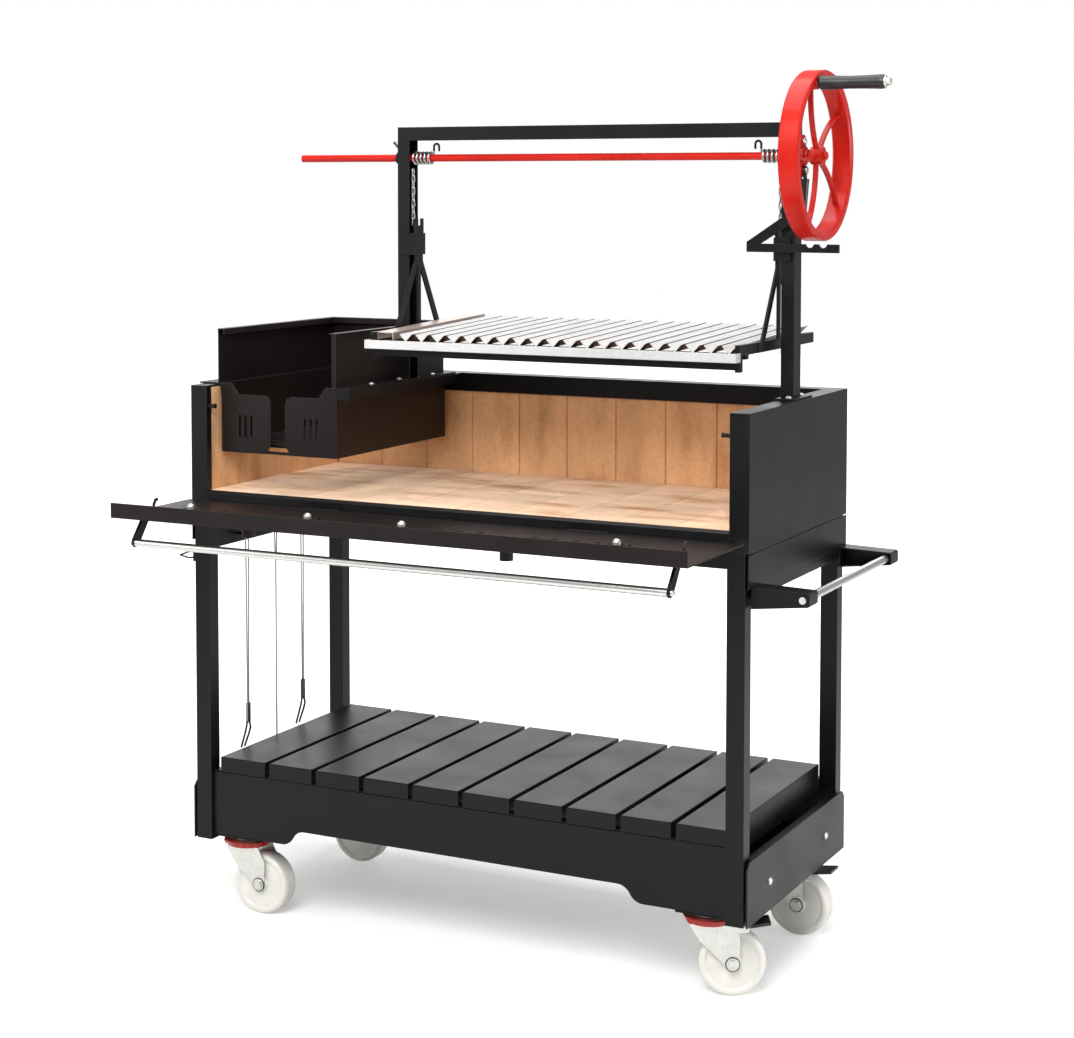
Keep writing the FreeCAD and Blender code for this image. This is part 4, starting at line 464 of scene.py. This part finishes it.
# the CAD nodes of each finish, by how their names start; all others are black
NODES_OF_FINISH = {
    "warm": ("door_panel", "left_damper", "right_damper", "wood_basket", "basket_bars", "basket_guard"),
    "red": ("handwheel", "flange_bearing", "winch_shaft"),
    "chain": ("chain_wraps", "lift_chains"),
    "zinc": ("frame_bolts", "basket_bolts", "damper_studs", "crank_spindle", "caster_plates"),
    "steel_x": ("door_handle_bar",),
    "steel_y": ("side_handle_bar",),
    "vee_steel": ("vee_channels",),
    "grate_steel": ("grate_frame",),
    "front_fork": ("front_fork_tool",),
    "rear_fork": ("rear_fork_tool",),
    "wire": ("poker_tool",),
    "floor_brick": ("floor_bricks",),
    "wall_brick": ("wall_bricks",),
    "caster": ("caster_fork",),
    "nylon": ("caster_wheel",),
    "plastic": ("crank_grip", "brake_lever", "brake_pedal", "lock_lever"),
}


def finish_of(node):
    """The finish of a CAD node."""
    for finish, starts in NODES_OF_FINISH.items():
        if node.startswith(starts):
            return finish
    return "black"


def paint_frame():
    """Gives every CAD node its finish."""
    for name, node in frame["nodes"].items():
        node.data.materials.clear()
        node.data.materials.append(MATERIALS[finish_of(name)])


# ------------------------------------------------------------------ pieces added for the looks
CASTER_TURNS = {"front_left": 0.0, "front_right": 27.0, "rear_left": 0.0, "rear_right": 0.0}
AXLE_SEAT = 0.0262
AXLE_RING_R, AXLE_RING_WIRE = 0.0128, 0.0013
RING_STEPS, RING_SIDES = 40, 10
LINK_COUNT = 9
LINK_R, LINK_WIRE, LINK_STRAIGHT = 0.00275, 0.0015, 0.0103
QUARTER_TURN = math.radians(90.0)
UPRIGHT = Matrix.Rotation(QUARTER_TURN, 4, "X")


def ring_section(shape, place, turn, radius, wire, straight):
    """Adds the corners of one round section of a ring to a bmesh."""
    rise = math.copysign(straight / 2, math.sin(turn))
    section = []
    for side in range(RING_SIDES):
        lean = 2 * math.pi * side / RING_SIDES
        reach = radius + wire * math.cos(lean)
        point = (reach * math.cos(turn), reach * math.sin(turn) + rise, wire * math.sin(lean))
        section.append(shape.verts.new(place @ Vector(point)))
    return section


def swept_ring(shape, place, radius, wire, straight=0.0):
    """Adds a closed ring of round section to a bmesh; a straight length makes it a chain link."""
    sections = []
    for step in range(RING_STEPS):
        turn = 2 * math.pi * (step + 0.5) / RING_STEPS
        sections.append(ring_section(shape, place, turn, radius, wire, straight))
    for step, section in enumerate(sections):
        after = sections[(step + 1) % RING_STEPS]
        for side in range(RING_SIDES):
            beside = (side + 1) % RING_SIDES
            face = shape.faces.new((section[side], after[side], after[beside], section[beside]))
            face.smooth = True


def placed(name, data):
    """Puts new data into the scene as an object."""
    made = bpy.data.objects.new(name, data)
    bpy.context.scene.collection.objects.link(made)
    return made


def finished_piece(name, shape, material):
    """Turns a bmesh into an object of the scene."""
    mesh = bpy.data.meshes.new(name)
    shape.to_mesh(mesh)
    shape.free()
    mesh.materials.append(material)
    return placed(name, mesh)


def body_under(node):
    """The name of the CAD body that a node belongs to."""
    (body,) = body_of(frame["nodes"][node])
    return body


def axle_rings():
    """Dark sealing rings round the washers at both ends of each caster axle."""
    for corner, degrees in CASTER_TURNS.items():
        low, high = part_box("caster_wheel_" + corner)
        middle = Matrix.Translation((Vector(low) + Vector(high)) / 2)
        swivel = Matrix.Rotation(math.radians(degrees), 4, "Z")
        for side, way in (("near", -1), ("far", 1)):
            seat = Matrix.Translation((0.0, way * AXLE_SEAT, 0.0))
            shape = bmesh.new()
            swept_ring(shape, middle @ swivel @ seat @ UPRIGHT, AXLE_RING_R, AXLE_RING_WIRE)
            ring = finished_piece(f"axle_ring_{corner}_{side}", shape, MATERIALS["plastic"])
            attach(ring, body_under("caster_fork_" + corner))


def hanging_chains():
    """Both chains link by link; they reach from the wraps to the sleeves wherever the grate stands."""
    low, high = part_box("lift_chains")
    edge = LINK_R + LINK_WIRE
    middle_y = (low[1] + high[1]) / 2
    first_z = low[2] + edge + LINK_STRAIGHT / 2
    last_z = high[2] - edge - LINK_STRAIGHT / 2
    shape = bmesh.new()
    for x in (low[0] + edge, high[0] - edge):
        for index in range(LINK_COUNT):
            z = first_z + (last_z - first_z) * index / (LINK_COUNT - 1)
            twist = Matrix.Rotation(QUARTER_TURN * ((index + 1) % 2), 4, "Z")
            place = Matrix.Translation((x, middle_y, z)) @ twist @ UPRIGHT
            swept_ring(shape, place, LINK_R, LINK_WIRE, LINK_STRAIGHT)
    chains = finished_piece("hanging_chains", shape, MATERIALS["chain"])
    start = (0.0, middle_y, low[2])
    end = (0.0, middle_y, high[2])
    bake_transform(chains, body_under("lift_chains"), body_under("top_beam"), start, end)
    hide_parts("lift_chains")


# ------------------------------------------------------------------ studio
FLOOR_HALF = 14.0

# the paper's own glow: its strength near the cart, and the distances where it starts to grow and is full
GLOW_NEAR = 0.34
GLOW_RADII = (1.2, 3.2)

# the room's brightness in front and behind, and where the way from one to the other begins and ends
ROOM_FRONT, ROOM_BACK = 0.42, 0.40
ROOM_DEPTH = (-0.2, 0.6)

CART_MIDDLE = (0.0, 0.1, 0.8)
LEG_MIDDLE = (0.0, 0.0, 0.4)
REAR_MIDDLE = (0.0, 0.2, 0.5)

# each light's place, the point it faces, its size in metres and its power in watts
SOFTBOXES = {
    "key_softbox": ((0.6, -3.0, 3.4), CART_MIDDLE, (2.4, 2.0), 150.0),
    "top_softbox": ((0.0, 0.2, 3.6), CART_MIDDLE, (3.0, 2.4), 75.0),
    "side_softbox": ((4.2, 0.6, 0.9), LEG_MIDDLE, (1.6, 1.6), 60.0),
    "fill_softbox": ((-3.2, -2.6, 2.0), CART_MIDDLE, (2.4, 2.4), 35.0),
    "back_softbox": ((-1.6, 4.2, 1.9), REAR_MIDDLE, (5.0, 1.6), 36.0),
}


def paper():
    """White paper that glows to the camera alone: a little near the cart, fully far from it."""
    graph = Graph("studio_paper")
    graph.fill({"Base Color": (*PAPER, 1.0), "Emission Color": (*WHITE, 1.0)})
    graph.fill({"Roughness": 0.9, "Specular IOR Level": 0.1})
    away = graph.node("ShaderNodeVectorMath", operation="LENGTH")
    graph.link(graph.coords, "Object", away, 0)
    grown = graph.remapped(away, "Value", GLOW_RADII, (GLOW_NEAR, 1.0))
    seen = graph.node("ShaderNodeMath", operation="MULTIPLY")
    graph.link(graph.node("ShaderNodeLightPath"), "Is Camera Ray", seen, 0)
    graph.link(grown, "Result", seen, 1)
    graph.link(seen, "Value", graph.shader, "Emission Strength")
    return graph.material


def floor():
    """One large sheet under the cart."""
    mesh = bpy.data.meshes.new("studio_floor")
    corners = [(FLOOR_HALF * x, FLOOR_HALF * y, 0.0) for x, y in ((-1, -1), (1, -1), (1, 1), (-1, 1))]
    mesh.from_pydata(corners, [], [(0, 1, 2, 3)])
    mesh.materials.append(paper())
    placed("studio_floor", mesh)


def studio_world():
    """White to the camera; for the light, a grey room that changes a little towards the back."""
    world = bpy.data.worlds.new("studio_world")
    world.use_nodes = True
    tree = world.node_tree
    background = tree.nodes["Background"]
    background.inputs["Color"].default_value = (*WHITE, 1.0)
    coords = tree.nodes.new("ShaderNodeTexCoord")
    parts = tree.nodes.new("ShaderNodeSeparateXYZ")
    tree.links.new(coords.outputs["Generated"], parts.inputs["Vector"])
    room = tree.nodes.new("ShaderNodeMapRange")
    room.interpolation_type = "SMOOTHSTEP"
    room.inputs["From Min"].default_value, room.inputs["From Max"].default_value = ROOM_DEPTH
    room.inputs["To Min"].default_value = ROOM_FRONT
    room.inputs["To Max"].default_value = ROOM_BACK
    tree.links.new(parts.outputs["Y"], room.inputs["Value"])
    path = tree.nodes.new("ShaderNodeLightPath")
    seen = tree.nodes.new("ShaderNodeMix")
    seen.inputs["B"].default_value = 1.0
    tree.links.new(path.outputs["Is Camera Ray"], seen.inputs["Factor"])
    tree.links.new(room.outputs["Result"], seen.inputs["A"])
    tree.links.new(seen.outputs["Result"], background.inputs["Strength"])
    bpy.context.scene.world = world


def area_light(name, place, target, size, power):
    """A softbox that faces a point and isn't seen itself."""
    data = bpy.data.lights.new(name, "AREA")
    data.shape = "RECTANGLE"
    data.size, data.size_y = size
    data.energy = power
    made = placed(name, data)
    made.location = place
    aim = Vector(target) - Vector(place)
    made.rotation_euler = aim.to_track_quat("-Z", "Y").to_euler()
    made.visible_camera = False


def lights():
    """The room and its softboxes."""
    studio_world()
    for name, settings in SOFTBOXES.items():
        area_light(name, *settings)


# ------------------------------------------------------------------ camera
CAMERA_PLACE = (1.8988, -3.7122, 1.4901)
CAMERA_PITCH = math.radians(86.605)
CAMERA_TURN = math.radians(27.29)
SENSOR_WIDTH, FOCAL_LENGTH = 36.0, 72.44
CLIP_END = 100.0
LENS_SHIFTS = {"shift_x": 0.0265, "shift_y": -0.194}
PLACE_TOLERANCE = 0.001


def shift_driver(data, attribute, owner, value):
    """Holds the lens shift only while the camera stands at its own place."""
    curve = data.driver_add(attribute)
    variable = curve.driver.variables.new()
    variable.name = "x"
    variable.type = "TRANSFORMS"
    variable.targets[0].id = owner
    variable.targets[0].transform_type = "LOC_X"
    variable.targets[0].transform_space = "WORLD_SPACE"
    at_home = f"abs(x - {CAMERA_PLACE[0]}) < {PLACE_TOLERANCE}"
    curve.driver.expression = f"{value} if {at_home} else 0.0"


def camera():
    """A long lens at eye height, off the front right corner."""
    data = bpy.data.cameras.new("camera")
    data.sensor_width = SENSOR_WIDTH
    data.lens = FOCAL_LENGTH
    data.clip_end = CLIP_END
    made = placed("camera", data)
    made.location = CAMERA_PLACE
    made.rotation_euler = (CAMERA_PITCH, 0.0, CAMERA_TURN)
    for attribute, value in LENS_SHIFTS.items():
        shift_driver(data, attribute, made, value)
    bpy.context.scene.camera = made


# ------------------------------------------------------------------ build
paint_frame()
axle_rings()
hanging_chains()
floor()
lights()
camera()
bpy.context.scene.view_settings.view_transform = "Standard"
